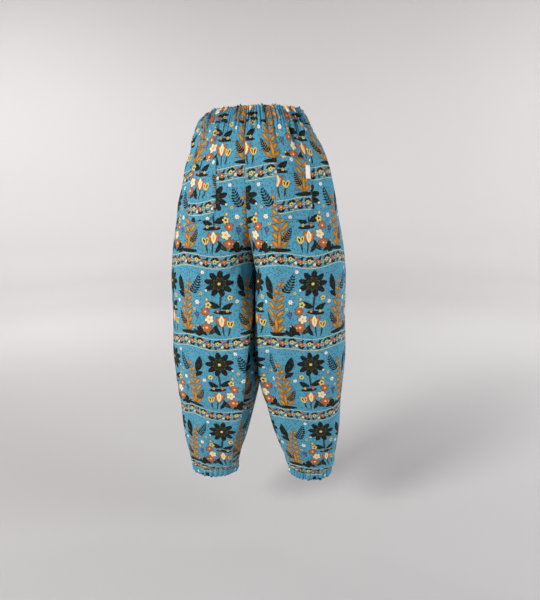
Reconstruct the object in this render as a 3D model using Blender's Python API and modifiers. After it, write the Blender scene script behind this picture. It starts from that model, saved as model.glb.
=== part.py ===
"""Barrel leg trousers with an elastic waist and elastic hems, hollow, as they hang when worn.

The wearer faces +Y, so the seat and the two patch pockets face -Y, and +X is the wearer's right.
The origin is the centre of the waist opening, level with the waistband's upper edge. A drop is a
distance below that edge. Each panel runs from the middle seam (the rise, then the inseam) at
across = 0 to the side seam at across = 1. Sizes are in metres.
"""

from collections import namedtuple

import bmesh
import bpy
import numpy as np

LENGTH = 0.920
BAND = 0.034  # height of the waistband
HEM = 0.020  # height of each hem casing
CROTCH = 0.335  # drop of the point where the four panels meet
SEAT = 0.190  # drop at which the back rise leaves the seat and turns under
BELLY = 0.215  # the same for the front rise
STRIDE = 0.009  # how far each hem stands before or behind the other's middle

CLOTH = 0.0012
BAND_CLOTH = 0.0032  # two layers of cloth with the elastic between them
HEM_CLOTH = 0.0028
SEAM = 0.0003  # space between two pieces that are sewn together
LEGS_APART = 0.0003  # half of the space between the two legs where they hang side by side

POCKET_WIDTH = 0.085
POCKET_FROM_RISE = 0.068  # distance on the cloth from the back rise to the pocket
LIFT = 0.0005  # space under a piece that lies on another
TAB_WIDTH = 0.013
TAB_TOP = 0.129
TAB_LENGTH = 0.030
TAB_CLOTH = 0.0010
TAB_FROM_EDGE = 0.002

COLUMNS_TO_POCKET = 4  # columns of the back panel between the rise and the pocket
POCKET_COLUMNS = 6
COLUMNS_TO_SIDE = 5
LOW_NEAR = 0.170  # where the two columns that follow the pocket's edges end up below it, so that
LOW_FAR = 0.555  # the second column between them follows the left leg's crease
SEAM_STRIP = 0.015  # share of a panel's width in the narrow column along each seam
BAND_COLUMNS = 48
BAND_ROWS = 2
HEM_COLUMNS = 32
HEM_ROWS = 1
PATH_STEPS = 40  # points on each quarter of a section

GATHERS = 4  # large gathers on each panel
GATHER_HEIGHT = 0.0030
GATHER_PEAK = 0.022  # below the band, where they stand highest
GATHER_END = 0.085  # below the band, where they are gone

# The horizontal section at each drop. side and inner are each leg's outer and inner faces, back
# and front how far it reaches behind and before the middle, and fullest where it reaches so far,
# as a share of the way from inner to side.
Section = namedtuple("Section", "drop left_side right_side back front fullest left_inner right_inner")
SECTIONS = (
    Section(0.000, 0.1100, 0.1100, 0.086, 0.086, 0.00, 0.0, 0.0),
    Section(0.015, 0.1270, 0.1185, 0.094, 0.092, 0.00, 0.0, 0.0),
    Section(BAND, 0.1390, 0.1285, 0.102, 0.099, 0.00, 0.0, 0.0),
    Section(0.060, 0.1485, 0.1420, 0.109, 0.104, 0.01, 0.0, 0.0),
    Section(0.079, 0.1540, 0.1530, 0.113, 0.107, 0.03, 0.0, 0.0),
    Section(0.120, 0.1735, 0.1705, 0.119, 0.112, 0.08, 0.0, 0.0),
    Section(0.163, 0.1850, 0.1825, 0.122, 0.116, 0.18, 0.0, 0.0),
    Section(0.205, 0.1985, 0.1915, 0.124, 0.119, 0.31, 0.0, 0.0),
    Section(0.248, 0.2045, 0.1980, 0.125, 0.121, 0.42, 0.0, 0.0),
    Section(0.292, 0.2130, 0.2065, 0.126, 0.122, 0.48, 0.0, 0.0),
    Section(CROTCH, 0.2175, 0.2125, 0.128, 0.123, 0.49, 0.0, 0.0),
    Section(0.382, 0.2200, 0.2155, 0.129, 0.124, 0.50, LEGS_APART, LEGS_APART),
    Section(0.475, 0.2185, 0.2150, 0.130, 0.125, 0.50, LEGS_APART, LEGS_APART),
    Section(0.570, 0.2240, 0.2170, 0.129, 0.123, 0.49, LEGS_APART, LEGS_APART),
    Section(0.620, 0.2210, 0.2145, 0.124, 0.118, 0.49, 0.0016, 0.0016),
    Section(0.670, 0.2185, 0.2095, 0.116, 0.110, 0.50, 0.0070, 0.0075),
    Section(0.720, 0.2135, 0.2055, 0.105, 0.100, 0.50, 0.0180, 0.0185),
    Section(0.770, 0.2125, 0.2040, 0.093, 0.088, 0.50, 0.0310, 0.0285),
    Section(0.820, 0.2095, 0.1990, 0.078, 0.075, 0.50, 0.0450, 0.0420),
    Section(0.875, 0.2010, 0.1895, 0.058, 0.057, 0.50, 0.0645, 0.0610),
    Section(LENGTH - HEM, 0.1955, 0.1825, 0.047, 0.047, 0.50, 0.0695, 0.0685),
    Section(LENGTH, 0.1950, 0.1820, 0.047, 0.047, 0.50, 0.0700, 0.0690),
)

# How square each corner of the section is: 2 is an ellipse, and 10 is nearly a right angle. lean
# is how far the back edge of the left leg's inner wall leans away from the right leg.
Corners = namedtuple("Corners", "drop left_back right_back front_side front_in right_in left_in lean")
CORNERS = (
    Corners(0.000, 2.0, 2.1, 2.1, 2.5, 2.5, 2.5, 0.0),
    Corners(0.120, 1.65, 2.0, 2.1, 2.5, 2.5, 2.5, 0.0),
    Corners(0.210, 1.60, 2.0, 2.1, 2.5, 2.6, 2.6, 0.0),
    Corners(CROTCH, 1.80, 2.1, 2.2, 2.6, 2.8, 2.8, 0.0),
    Corners(0.440, 2.1, 2.2, 2.2, 2.8, 3.0, 5.0, 0.001),
    Corners(0.540, 2.2, 2.2, 2.2, 2.8, 3.0, 9.0, 0.009),
    Corners(0.770, 2.2, 2.2, 2.2, 2.6, 2.7, 9.0, 0.011),
    Corners(0.875, 2.1, 2.1, 2.1, 2.2, 2.2, 3.5, 0.004),
    Corners(LENGTH, 2.0, 2.0, 2.0, 2.0, 2.0, 2.0, 0.0),
)

# The panels' rows, by their drops at the middle seam and at the side seam. They slope, because
# the seat takes up length and the rise turns under. The pocket lies between two of them.
Row = namedtuple("Row", "seam side")
POCKET_TOP = Row(0.108, 0.118)
POCKET_BOTTOM = Row(0.240, 0.255)
ROWS = (
    Row(BAND + SEAM, BAND + SEAM),
    Row(0.046, 0.046),
    Row(0.062, 0.063),
    Row(0.083, 0.087),
    POCKET_TOP,
    Row(0.140, 0.151),
    Row(0.174, 0.186),
    Row(0.207, 0.221),
    POCKET_BOTTOM,
    Row(0.264, 0.283),
    Row(0.287, 0.312),
    Row(0.307, 0.341),
    Row(0.323, 0.370),
    Row(0.332, 0.398),
    Row(CROTCH, 0.425),
    Row(0.372, 0.458),
    Row(0.430, 0.505),
    Row(0.495, 0.555),
    Row(0.560, 0.605),
    Row(0.620, 0.650),
    Row(0.678, 0.695),
    Row(0.730, 0.738),
    Row(0.780, 0.782),
    Row(0.828, 0.828),
    Row(0.866, 0.866),
    Row(LENGTH - HEM - SEAM, LENGTH - HEM - SEAM),
)

# The largest folds. Each runs from top to bottom, where across says how far it lies from the
# middle seam. half_width and height are metres on the cloth, and a negative height is a trough.
Fold = namedtuple("Fold", "leg face top bottom across_top across_bottom half_width height")
FOLDS = (
    Fold("left", "back", 0.42, 0.89, 0.298, 0.285, 0.018, 0.0055),
    Fold("left", "back", 0.45, 0.88, 0.375, 0.380, 0.026, -0.0050),
    Fold("left", "back", 0.62, 0.90, 0.640, 0.600, 0.026, -0.0045),
    Fold("left", "back", 0.36, 0.66, 0.560, 0.660, 0.032, -0.0035),
    Fold("left", "front", 0.40, 0.80, 0.360, 0.400, 0.028, -0.0050),
    Fold("left", "front", 0.60, 0.90, 0.660, 0.600, 0.026, -0.0040),
    Fold("right", "back", 0.30, 0.72, 0.240, 0.380, 0.024, -0.0050),
    Fold("right", "back", 0.58, 0.90, 0.640, 0.590, 0.028, -0.0045),
    Fold("right", "back", 0.40, 0.86, 0.470, 0.450, 0.026, 0.0030),
    Fold("right", "front", 0.42, 0.84, 0.420, 0.370, 0.028, -0.0050),
    Fold("right", "front", 0.36, 0.70, 0.700, 0.640, 0.030, -0.0035),
)

BLUE = (0.075, 0.325, 0.475, 1)
DEEP_BLUE = (0.055, 0.265, 0.400, 1)
WHITE = (0.80, 0.78, 0.74, 1)
LEGS = {"left": -1, "right": 1}


def along(table, name, drop):
    """The named column at these drops, as a smooth curve that never overshoots the table's rows."""
    drops = np.array([row.drop for row in table])
    values = np.array([getattr(row, name) for row in table])
    rise = np.diff(values) / np.diff(drops)
    before, after = rise[:-1], rise[1:]
    bends = np.where(before * after > 0, 2 * before * after / (before + after + 1e-12), 0)
    slope = np.concatenate([rise[:1], bends, rise[-1:]])
    spot = np.clip(np.searchsorted(drops, drop, side="right") - 1, 0, len(drops) - 2)
    step = drops[spot + 1] - drops[spot]
    s = np.clip((drop - drops[spot]) / step, 0, 1)
    start = (1 + 2 * s) * (1 - s) ** 2 * values[spot] + s * (1 - s) ** 2 * step * slope[spot]
    end = s * s * (3 - 2 * s) * values[spot + 1] - s * s * (1 - s) * step * slope[spot + 1]
    return start + end


def ease(s):
    s = np.clip(s, 0, 1)
    return s * s * (3 - 2 * s)


def stride(leg, drop):
    return LEGS[leg] * STRIDE * ease((drop - CROTCH) / (LENGTH - CROTCH))


def half_path(leg, face, drop):
    """Points from the middle seam to the side seam, in the section at each drop: x and y."""
    side = along(SECTIONS, leg + "_side", drop)[..., None]
    reach = along(SECTIONS, face, drop)[..., None]
    inner = along(SECTIONS, leg + "_inner", drop)[..., None] + SEAM / 2
    fullest = inner + (side - inner) * along(SECTIONS, "fullest", drop)[..., None]
    inside = "front_in" if face == "front" else leg + "_in"
    outside = "front_side" if face == "front" else leg + "_back"
    inside_power = 2 / along(CORNERS, inside, drop)[..., None]
    side_power = 2 / along(CORNERS, outside, drop)[..., None]
    start = SEAT if face == "back" else BELLY
    under = np.clip((drop - start) / (CROTCH - start), 0, 1)[..., None]
    depth = reach * (1 - np.sqrt(1 - under**2))
    turn = np.linspace(0, np.pi / 2, PATH_STEPS)
    rising, falling = np.sin(turn), np.abs(np.cos(turn))
    y_in = reach - depth * (1 - rising**inside_power)
    if (leg, face) == ("left", "back"):
        inner = inner + along(CORNERS, "lean", drop)[..., None] * (y_in / reach) ** 2
    x_in = fullest - (fullest - inner) * falling**inside_power
    x_out = fullest + (side - fullest) * rising**side_power
    y_out = reach * falling**side_power
    x = np.concatenate([x_in[..., :-1], x_out], axis=-1)
    y = np.concatenate([y_in[..., :-1], y_out], axis=-1)
    return LEGS[leg] * x, y if face == "front" else -y


def path_lengths(x, y):
    steps = np.hypot(np.diff(x, axis=-1), np.diff(y, axis=-1))
    return np.concatenate([np.zeros(x.shape[:-1] + (1,)), np.cumsum(steps, axis=-1)], axis=-1)


def seam_length(leg, face, drop):
    """Distance on the cloth from the middle seam to the side seam."""
    return path_lengths(*half_path(leg, face, np.asarray(drop, float)))[..., -1]


def fold_height(leg, face, across, drop, width):
    """How far the folds and the gathers move the cloth out."""
    below = drop - BAND
    swell = ease(below / GATHER_PEAK) * (1 - ease((below - GATHER_PEAK) / GATHER_END))
    height = GATHER_HEIGHT * swell * np.cos(2 * np.pi * GATHERS * across)
    for fold in FOLDS:
        if (fold.leg, fold.face) != (leg, face):
            continue
        s = np.clip((drop - fold.top) / (fold.bottom - fold.top), 0, 1)
        middle = fold.across_top + (fold.across_bottom - fold.across_top) * s
        away = (across - middle) * width / fold.half_width
        height = height + fold.height * np.sin(np.pi * s) * np.exp(-(away**2))
    return height


def on_cloth(leg, face, across, drop, out=0.0):
    """Points on the outer face of the cloth, moved out by the last value. The result is (..., 3)."""
    across, drop = np.broadcast_arrays(np.asarray(across, float), np.asarray(drop, float))
    x, y = half_path(leg, face, drop)
    lengths = path_lengths(x, y)
    width = lengths[..., -1]
    inset = SEAM / 2 / width
    wanted = (inset + (1 - 2 * inset) * across) * width
    spot = np.sum(lengths <= wanted[..., None], axis=-1) - 1
    spot = np.clip(spot, 0, lengths.shape[-1] - 2)[..., None]
    here = [np.take_along_axis(part, spot, -1)[..., 0] for part in (x, y, lengths)]
    there = [np.take_along_axis(part, spot + 1, -1)[..., 0] for part in (x, y, lengths)]
    share = (wanted - here[2]) / np.maximum(there[2] - here[2], 1e-9)
    run_x, run_y = there[0] - here[0], there[1] - here[1]
    run = np.maximum(np.hypot(run_x, run_y), 1e-9)
    facing = LEGS[leg] * (1 if face == "back" else -1)
    out = out + fold_height(leg, face, across, drop, width)
    px = here[0] + share * run_x + out * facing * run_y / run
    py = here[1] + share * run_y - out * facing * run_x / run + stride(leg, drop)
    apart = along(SECTIONS, leg + "_inner", drop) + SEAM / 2
    px = LEGS[leg] * np.maximum(LEGS[leg] * px, apart)
    return np.stack([px, py, -drop], axis=-1)


def add_piece(name, points, colour, thick, closed=False, outward=False, flip=False):
    """A cloth piece from a grid of points on one of its faces, given its thickness by Solidify."""
    rows, columns = points.shape[:2]
    corners = points.reshape(-1, 3)
    faces = []
    for i in range(rows - 1):
        for j in range(columns if closed else columns - 1):
            k = (j + 1) % columns
            loop = [i * columns + j, (i + 1) * columns + j, (i + 1) * columns + k, i * columns + k]
            if flip:
                loop.reverse()
            first, second, third, fourth = corners[loop]
            if np.linalg.norm(third - first) > np.linalg.norm(fourth - second):
                loop = loop[1:] + loop[:1]  # a face bends along the line between its first and third
            faces.append(loop)
    mesh = bpy.data.meshes.new(name)
    mesh.from_pydata([tuple(corner) for corner in corners], [], faces)
    mesh.shade_smooth()
    piece = bpy.data.objects.new(name, mesh)
    bpy.data.collections["barrel_leg_trousers"].objects.link(piece)
    material = bpy.data.materials.new(name)
    material.use_nodes = True
    shader = material.node_tree.nodes["Principled BSDF"]
    shader.inputs["Base Color"].default_value = colour
    shader.inputs["Roughness"].default_value = 0.85
    shader.inputs["Metallic"].default_value = 0.0
    mesh.materials.append(material)
    wall = piece.modifiers.new("cloth", "SOLIDIFY")
    wall.thickness = thick
    wall.offset = 1.0 if outward else -1.0
    return piece


def columns(leg, face, row):
    """Where the panel's columns cross this row. Two of the back panel's follow the pocket's edges."""
    total = COLUMNS_TO_POCKET + POCKET_COLUMNS + COLUMNS_TO_SIDE
    inner, outer = SEAM_STRIP, 1 - SEAM_STRIP
    if face == "front":
        return np.concatenate([[0], np.linspace(inner, outer, total + 1), [1]])
    drop = np.clip(sum(row) / 2, sum(POCKET_TOP) / 2, sum(POCKET_BOTTOM) / 2)
    below = ease((sum(row) - sum(POCKET_BOTTOM)) / 0.3)
    near = POCKET_FROM_RISE / seam_length(leg, face, drop)
    far = (POCKET_FROM_RISE + POCKET_WIDTH) / seam_length(leg, face, drop)
    near = near + (LOW_NEAR - near) * below
    far = far + (LOW_FAR - far) * below
    to_pocket = np.linspace(inner, near, COLUMNS_TO_POCKET + 1)
    pocket = np.linspace(near, far, POCKET_COLUMNS + 1)
    to_side = np.linspace(far, outer, COLUMNS_TO_SIDE + 1)
    return np.concatenate([[0], to_pocket, pocket[1:], to_side[1:], [1]])


def row_points(leg, face, row, across, out=0.0):
    return on_cloth(leg, face, across, row.seam + (row.side - row.seam) * ease(across), out)


def make_panel(leg, face):
    points = np.array([row_points(leg, face, row, columns(leg, face, row)) for row in ROWS])
    flip = (leg == "left") != (face == "front")
    add_piece(face + "_" + leg, points, BLUE, CLOTH, flip=flip)


def ring(loop, drops, columns):
    """Evenly spaced points round a closed loop(drop) of points, one row for each drop."""
    rows = []
    for drop in drops:
        x, y = loop(drop)
        x, y = np.append(x, x[0]), np.append(y, y[0])
        lengths = path_lengths(x, y)
        wanted = np.linspace(0, lengths[-1], columns + 1)[:-1]
        even = [np.interp(wanted, lengths, x), np.interp(wanted, lengths, y)]
        rows.append(np.stack(even + [np.full(columns, -drop)], axis=-1))
    return np.array(rows)


def waist_loop(drop):
    """Round the waist: back right, front right, front left, back left, starting at the back."""
    parts = []
    for leg, face in (("right", "back"), ("right", "front"), ("left", "front"), ("left", "back")):
        x, y = half_path(leg, face, np.array(drop))
        forward = (leg == "right") == (face == "back")
        parts.append((x[:-1], y[:-1]) if forward else (x[:0:-1], y[:0:-1]))
    return np.concatenate([part[0] for part in parts]), np.concatenate([part[1] for part in parts])


def hem_loop(leg, drop):
    """Round a hem: from the inseam by the back to the side seam, and back by the front."""
    x_back, y_back = half_path(leg, "back", np.array(drop))
    x_front, y_front = half_path(leg, "front", np.array(drop))
    x = np.concatenate([x_back[:-1], x_front[:0:-1]])
    y = np.concatenate([y_back[:-1], y_front[:0:-1]])
    return x, y + stride(leg, drop)


def make_waistband():
    drops = np.linspace(0, BAND, BAND_ROWS + 1)
    points = ring(waist_loop, drops, BAND_COLUMNS)
    add_piece("waistband", points, DEEP_BLUE, BAND_CLOTH, closed=True)


def make_hem(leg):
    drops = np.linspace(LENGTH - HEM, LENGTH, HEM_ROWS + 1)
    points = ring(lambda drop: hem_loop(leg, drop), drops, HEM_COLUMNS)
    add_piece("hem_" + leg, points, DEEP_BLUE, HEM_CLOTH, closed=True, flip=leg == "left")


def make_pocket(leg):
    """A patch made of the back panel's own points, moved out, with its lower corners cut off."""
    first = 1 + COLUMNS_TO_POCKET
    inside = slice(first, first + POCKET_COLUMNS + 1)
    rows = ROWS[ROWS.index(POCKET_TOP) : ROWS.index(POCKET_BOTTOM) + 1]
    grid = [row_points(leg, "back", row, columns(leg, "back", row)[inside], LIFT) for row in rows]
    piece = add_piece("pocket_" + leg, np.array(grid), BLUE, CLOTH, outward=True, flip=leg == "left")
    mesh = bmesh.new()
    mesh.from_mesh(piece.data)
    mesh.verts.ensure_lookup_table()
    last = (len(rows) - 1) * (POCKET_COLUMNS + 1)
    for corner in (mesh.verts[last], mesh.verts[last + POCKET_COLUMNS]):
        beside = [edge.other_vert(corner) for edge in corner.link_edges]
        bmesh.ops.connect_verts(mesh, verts=beside)
    bmesh.ops.delete(mesh, geom=[mesh.verts[last], mesh.verts[last + POCKET_COLUMNS]], context="VERTS")
    mesh.to_mesh(piece.data)
    mesh.free()


def make_tab():
    """A folded label on the right pocket, near the edge that faces the side seam."""
    end = POCKET_FROM_RISE + POCKET_WIDTH - TAB_FROM_EDGE
    from_rise = np.array([[end - TAB_WIDTH, end]])
    drop = np.linspace(TAB_TOP, TAB_TOP + TAB_LENGTH, 3)[:, None]
    across = from_rise / seam_length("right", "back", drop)
    points = on_cloth("right", "back", across, drop, LIFT + CLOTH + LIFT)
    add_piece("pocket_tab", points, WHITE, TAB_CLOTH, outward=True)


def main():
    for old in list(bpy.data.objects):
        bpy.data.objects.remove(old)
    collection = bpy.data.collections.new("barrel_leg_trousers")
    bpy.context.scene.collection.children.link(collection)
    make_waistband()
    for leg in LEGS:
        for face in ("back", "front"):
            make_panel(leg, face)
        make_hem(leg)
        make_pocket(leg)
    make_tab()


main()
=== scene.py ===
"""The looks of the barrel leg trousers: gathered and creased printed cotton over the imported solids.

The wearer faces +Y, +X is the wearer's right, and a drop is a distance below the waistband's upper
edge. Each panel runs from the middle seam at across = 0 to the side seam at across = 1. Sizes are in
metres, and the print's own tables are in millimetres of cloth.
"""

import math
from collections import namedtuple

import bpy
import numpy as np
from mathutils import Matrix, Vector


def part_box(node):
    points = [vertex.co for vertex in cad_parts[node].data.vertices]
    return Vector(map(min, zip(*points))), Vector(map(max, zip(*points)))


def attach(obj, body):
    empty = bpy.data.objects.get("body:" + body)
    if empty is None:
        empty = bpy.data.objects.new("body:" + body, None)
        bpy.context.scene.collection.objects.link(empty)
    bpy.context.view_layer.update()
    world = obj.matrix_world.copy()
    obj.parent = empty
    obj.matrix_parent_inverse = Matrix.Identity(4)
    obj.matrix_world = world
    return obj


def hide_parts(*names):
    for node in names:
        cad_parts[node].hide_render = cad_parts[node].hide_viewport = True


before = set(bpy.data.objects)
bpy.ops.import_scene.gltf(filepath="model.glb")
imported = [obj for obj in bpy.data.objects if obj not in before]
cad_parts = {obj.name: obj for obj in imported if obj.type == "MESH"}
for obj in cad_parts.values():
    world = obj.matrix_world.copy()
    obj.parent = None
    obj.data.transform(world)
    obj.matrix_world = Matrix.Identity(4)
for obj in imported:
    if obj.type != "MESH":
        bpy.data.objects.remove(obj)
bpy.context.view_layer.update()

MM = 0.001

# ---------------------------------------------------------------- the cut, as the solids have it

LENGTH = -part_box("hem_left")[0].z
BAND = 0.034  # height of the waistband
HEM = 0.020  # height of each hem casing
HEM_TOP = LENGTH - HEM
CROTCH = 0.335  # drop of the point where the four panels meet
SEAT = 0.190  # drop at which the back rise leaves the seat and turns under
BELLY = 0.215  # the same for the front rise
TURN_UNDER = 0.07  # how far below the crotch the fullest part of each leg has finished turning under
TURN_SOFT = 1.6  # how late the softer turn under sets in, and how soon it takes over from the seam's
STRIDE = 0.009  # how far each hem stands before or behind the other's middle
LEGS_APART = 0.0003  # half of the space between the two legs where they hang side by side
CLOTH = 0.0005  # the cotton's own thickness
LEGS = {"left": -1, "right": 1}
QUARTERS = (("right", "back"), ("right", "front"), ("left", "front"), ("left", "back"))

POCKET_WIDTH = 0.085
POCKET_FROM_RISE = 0.068  # distance on the cloth from the back rise to the pocket
POCKET_CORNER = 0.017  # how much of each lower corner is turned in
CORNER_FROM = 0.79  # share of the pocket's height at which its corners start to turn in
POCKET_HEM = 0.020
POCKET_OFF = 0.0012  # how far the pocket's face stands off the panel
POCKET_GAPE = 0.0022  # how much further off its open edge stands
TURNING = 0.0006  # thickness of the turnings under its hem and its edges
TURNED_IN = 0.008  # width of the turnings
EDGE_ROLL = 0.0004  # how far its outermost edge rolls in
POCKET_SOFT = 0.0009  # height of its own slow unevenness
TAB_WIDTH = 0.013
TAB_TOP = 0.129
TAB_LENGTH = 0.030
TAB_FROM_EDGE = 0.002
TAB_OFF = 0.0026  # distance of the folded label off the panel, which clears the pocket's edge
TAB_LIFT = 0.0008  # how far its lower end lifts
TAB_CURL = 0.0003  # how much further its middle does
TAPE = 0.0003  # the label tape's thickness

Section = namedtuple("Section", "drop left_side right_side back front fullest left_inner right_inner")
SECTIONS = (
    Section(0.000, 0.1100, 0.1100, 0.086, 0.086, 0.00, 0.0, 0.0),
    Section(0.015, 0.1270, 0.1185, 0.094, 0.092, 0.00, 0.0, 0.0),
    Section(BAND, 0.1390, 0.1285, 0.102, 0.099, 0.00, 0.0, 0.0),
    Section(0.060, 0.1485, 0.1420, 0.109, 0.104, 0.01, 0.0, 0.0),
    Section(0.079, 0.1540, 0.1530, 0.113, 0.107, 0.03, 0.0, 0.0),
    Section(0.120, 0.1735, 0.1705, 0.119, 0.112, 0.08, 0.0, 0.0),
    Section(0.163, 0.1850, 0.1825, 0.122, 0.116, 0.18, 0.0, 0.0),
    Section(0.205, 0.1985, 0.1915, 0.124, 0.119, 0.31, 0.0, 0.0),
    Section(0.248, 0.2045, 0.1980, 0.125, 0.121, 0.42, 0.0, 0.0),
    Section(0.292, 0.2130, 0.2065, 0.126, 0.122, 0.48, 0.0, 0.0),
    Section(CROTCH, 0.2175, 0.2125, 0.128, 0.123, 0.49, 0.0, 0.0),
    Section(0.382, 0.2200, 0.2155, 0.129, 0.124, 0.50, LEGS_APART, LEGS_APART),
    Section(0.475, 0.2185, 0.2150, 0.130, 0.125, 0.50, LEGS_APART, LEGS_APART),
    Section(0.570, 0.2240, 0.2170, 0.129, 0.123, 0.49, LEGS_APART, LEGS_APART),
    Section(0.620, 0.2210, 0.2145, 0.124, 0.118, 0.49, 0.0016, 0.0016),
    Section(0.670, 0.2185, 0.2095, 0.116, 0.110, 0.50, 0.0070, 0.0075),
    Section(0.720, 0.2135, 0.2055, 0.105, 0.100, 0.50, 0.0180, 0.0185),
    Section(0.770, 0.2125, 0.2040, 0.093, 0.088, 0.50, 0.0310, 0.0285),
    Section(0.820, 0.2095, 0.1990, 0.078, 0.075, 0.50, 0.0450, 0.0420),
    Section(0.875, 0.2010, 0.1895, 0.058, 0.057, 0.50, 0.0645, 0.0610),
    Section(HEM_TOP, 0.1955, 0.1825, 0.047, 0.047, 0.50, 0.0695, 0.0685),
    Section(LENGTH, 0.1950, 0.1820, 0.047, 0.047, 0.50, 0.0700, 0.0690),
)

Corners = namedtuple("Corners", "drop left_back right_back front_side front_in right_in left_in lean")
CORNERS = (
    Corners(0.000, 2.0, 2.1, 2.1, 2.5, 2.5, 2.5, 0.0),
    Corners(0.120, 1.65, 2.0, 2.1, 2.5, 2.5, 2.5, 0.0),
    Corners(0.210, 1.60, 2.0, 2.1, 2.5, 2.6, 2.6, 0.0),
    Corners(CROTCH, 1.80, 2.1, 2.2, 2.6, 2.8, 2.8, 0.0),
    Corners(0.440, 2.1, 2.2, 2.2, 2.8, 3.0, 5.0, 0.001),
    Corners(0.540, 2.2, 2.2, 2.2, 2.8, 3.0, 9.0, 0.009),
    Corners(0.770, 2.2, 2.2, 2.2, 2.6, 2.7, 9.0, 0.011),
    Corners(0.875, 2.1, 2.1, 2.1, 2.2, 2.2, 3.5, 0.004),
    Corners(LENGTH, 2.0, 2.0, 2.0, 2.0, 2.0, 2.0, 0.0),
)

# The drops of each row of the cloth at the middle seam and at the side seam.
Row = namedtuple("Row", "seam side")
POCKET_TOP = Row(0.108, 0.118)
POCKET_BOTTOM = Row(0.240, 0.255)
POCKET_TALL = POCKET_BOTTOM.seam - POCKET_TOP.seam
ROWS = (
    Row(BAND, BAND),
    Row(0.062, 0.063),
    Row(0.083, 0.087),
    POCKET_TOP,
    Row(0.174, 0.186),
    POCKET_BOTTOM,
    Row(0.264, 0.283),
    Row(0.287, 0.312),
    Row(0.307, 0.341),
    Row(0.323, 0.370),
    Row(0.332, 0.398),
    Row(CROTCH, 0.425),
    Row(0.372, 0.458),
    Row(0.430, 0.505),
    Row(0.495, 0.555),
    Row(0.560, 0.605),
    Row(0.620, 0.650),
    Row(0.678, 0.695),
    Row(0.730, 0.738),
    Row(0.780, 0.782),
    Row(0.828, 0.828),
    Row(HEM_TOP, HEM_TOP),
)
FINE_ABOVE = 0.150  # above this drop, where the cloth is gathered, its rows lie FINE_STEP apart
SPREADS = (0.29, 0.37)  # and between these drops, where the rows fan out under the seat
FINE_STEP = 0.0025
STEP = 0.0056  # distance between the other rows
PANEL_COLUMNS = 192
PANEL_CROWDING = 0.35  # how much closer together the columns lie at the seams
CASING_ROWS = 26
CASING_COLUMNS = 250  # in each quarter of its way round
CASING_EASE = 0.40  # how much longer each casing's flat cloth is than its gathered length
PATH_STEPS = 90  # points on each quarter of a section
POCKET_ROWS = 64
POCKET_COLUMNS = 54
POCKET_CROWDING = 0.6
TAB_ROWS = 40
TAB_COLUMNS = 15

STITCH_PITCH = 0.0034
STITCH_LONG = 0.0026
STITCH_INSET = 0.0020  # distance of the stitches from the sewn edge
STITCH_DEEP = 0.0005  # depth of the groove that they pull
STITCH_PULL = 0.0010  # half the groove's width
STITCH_BOW = 0.45  # share of the thread's thickness that a stitch bows out
STITCH_SUNK = 0.12  # share of it that the stitch lies sunk
STITCH_SHAPE = (0.35, 0.95, 1.0, 0.95, 0.35)  # thickness of a stitch along its length
STITCH_SIDES = 6
THREAD_THICK = 0.00046
LINE_DOWN = 160  # points on the line of stitches down a pocket's side
LINE_ACROSS = 110
SEWN_FROM = 0.012  # share of the pocket's height at which that line starts

# Where each strip was cut from the printed cloth, and how far from its panel's place each pocket was.
WAIST_CUT = (0.031, -0.061)
HEM_CUT = (0.044, -0.163)
POCKET_CUT = {"left": (0.052, 0.071), "right": (0.083, 0.071)}

# ---------------------------------------------------------------- how the cloth hangs

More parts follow.
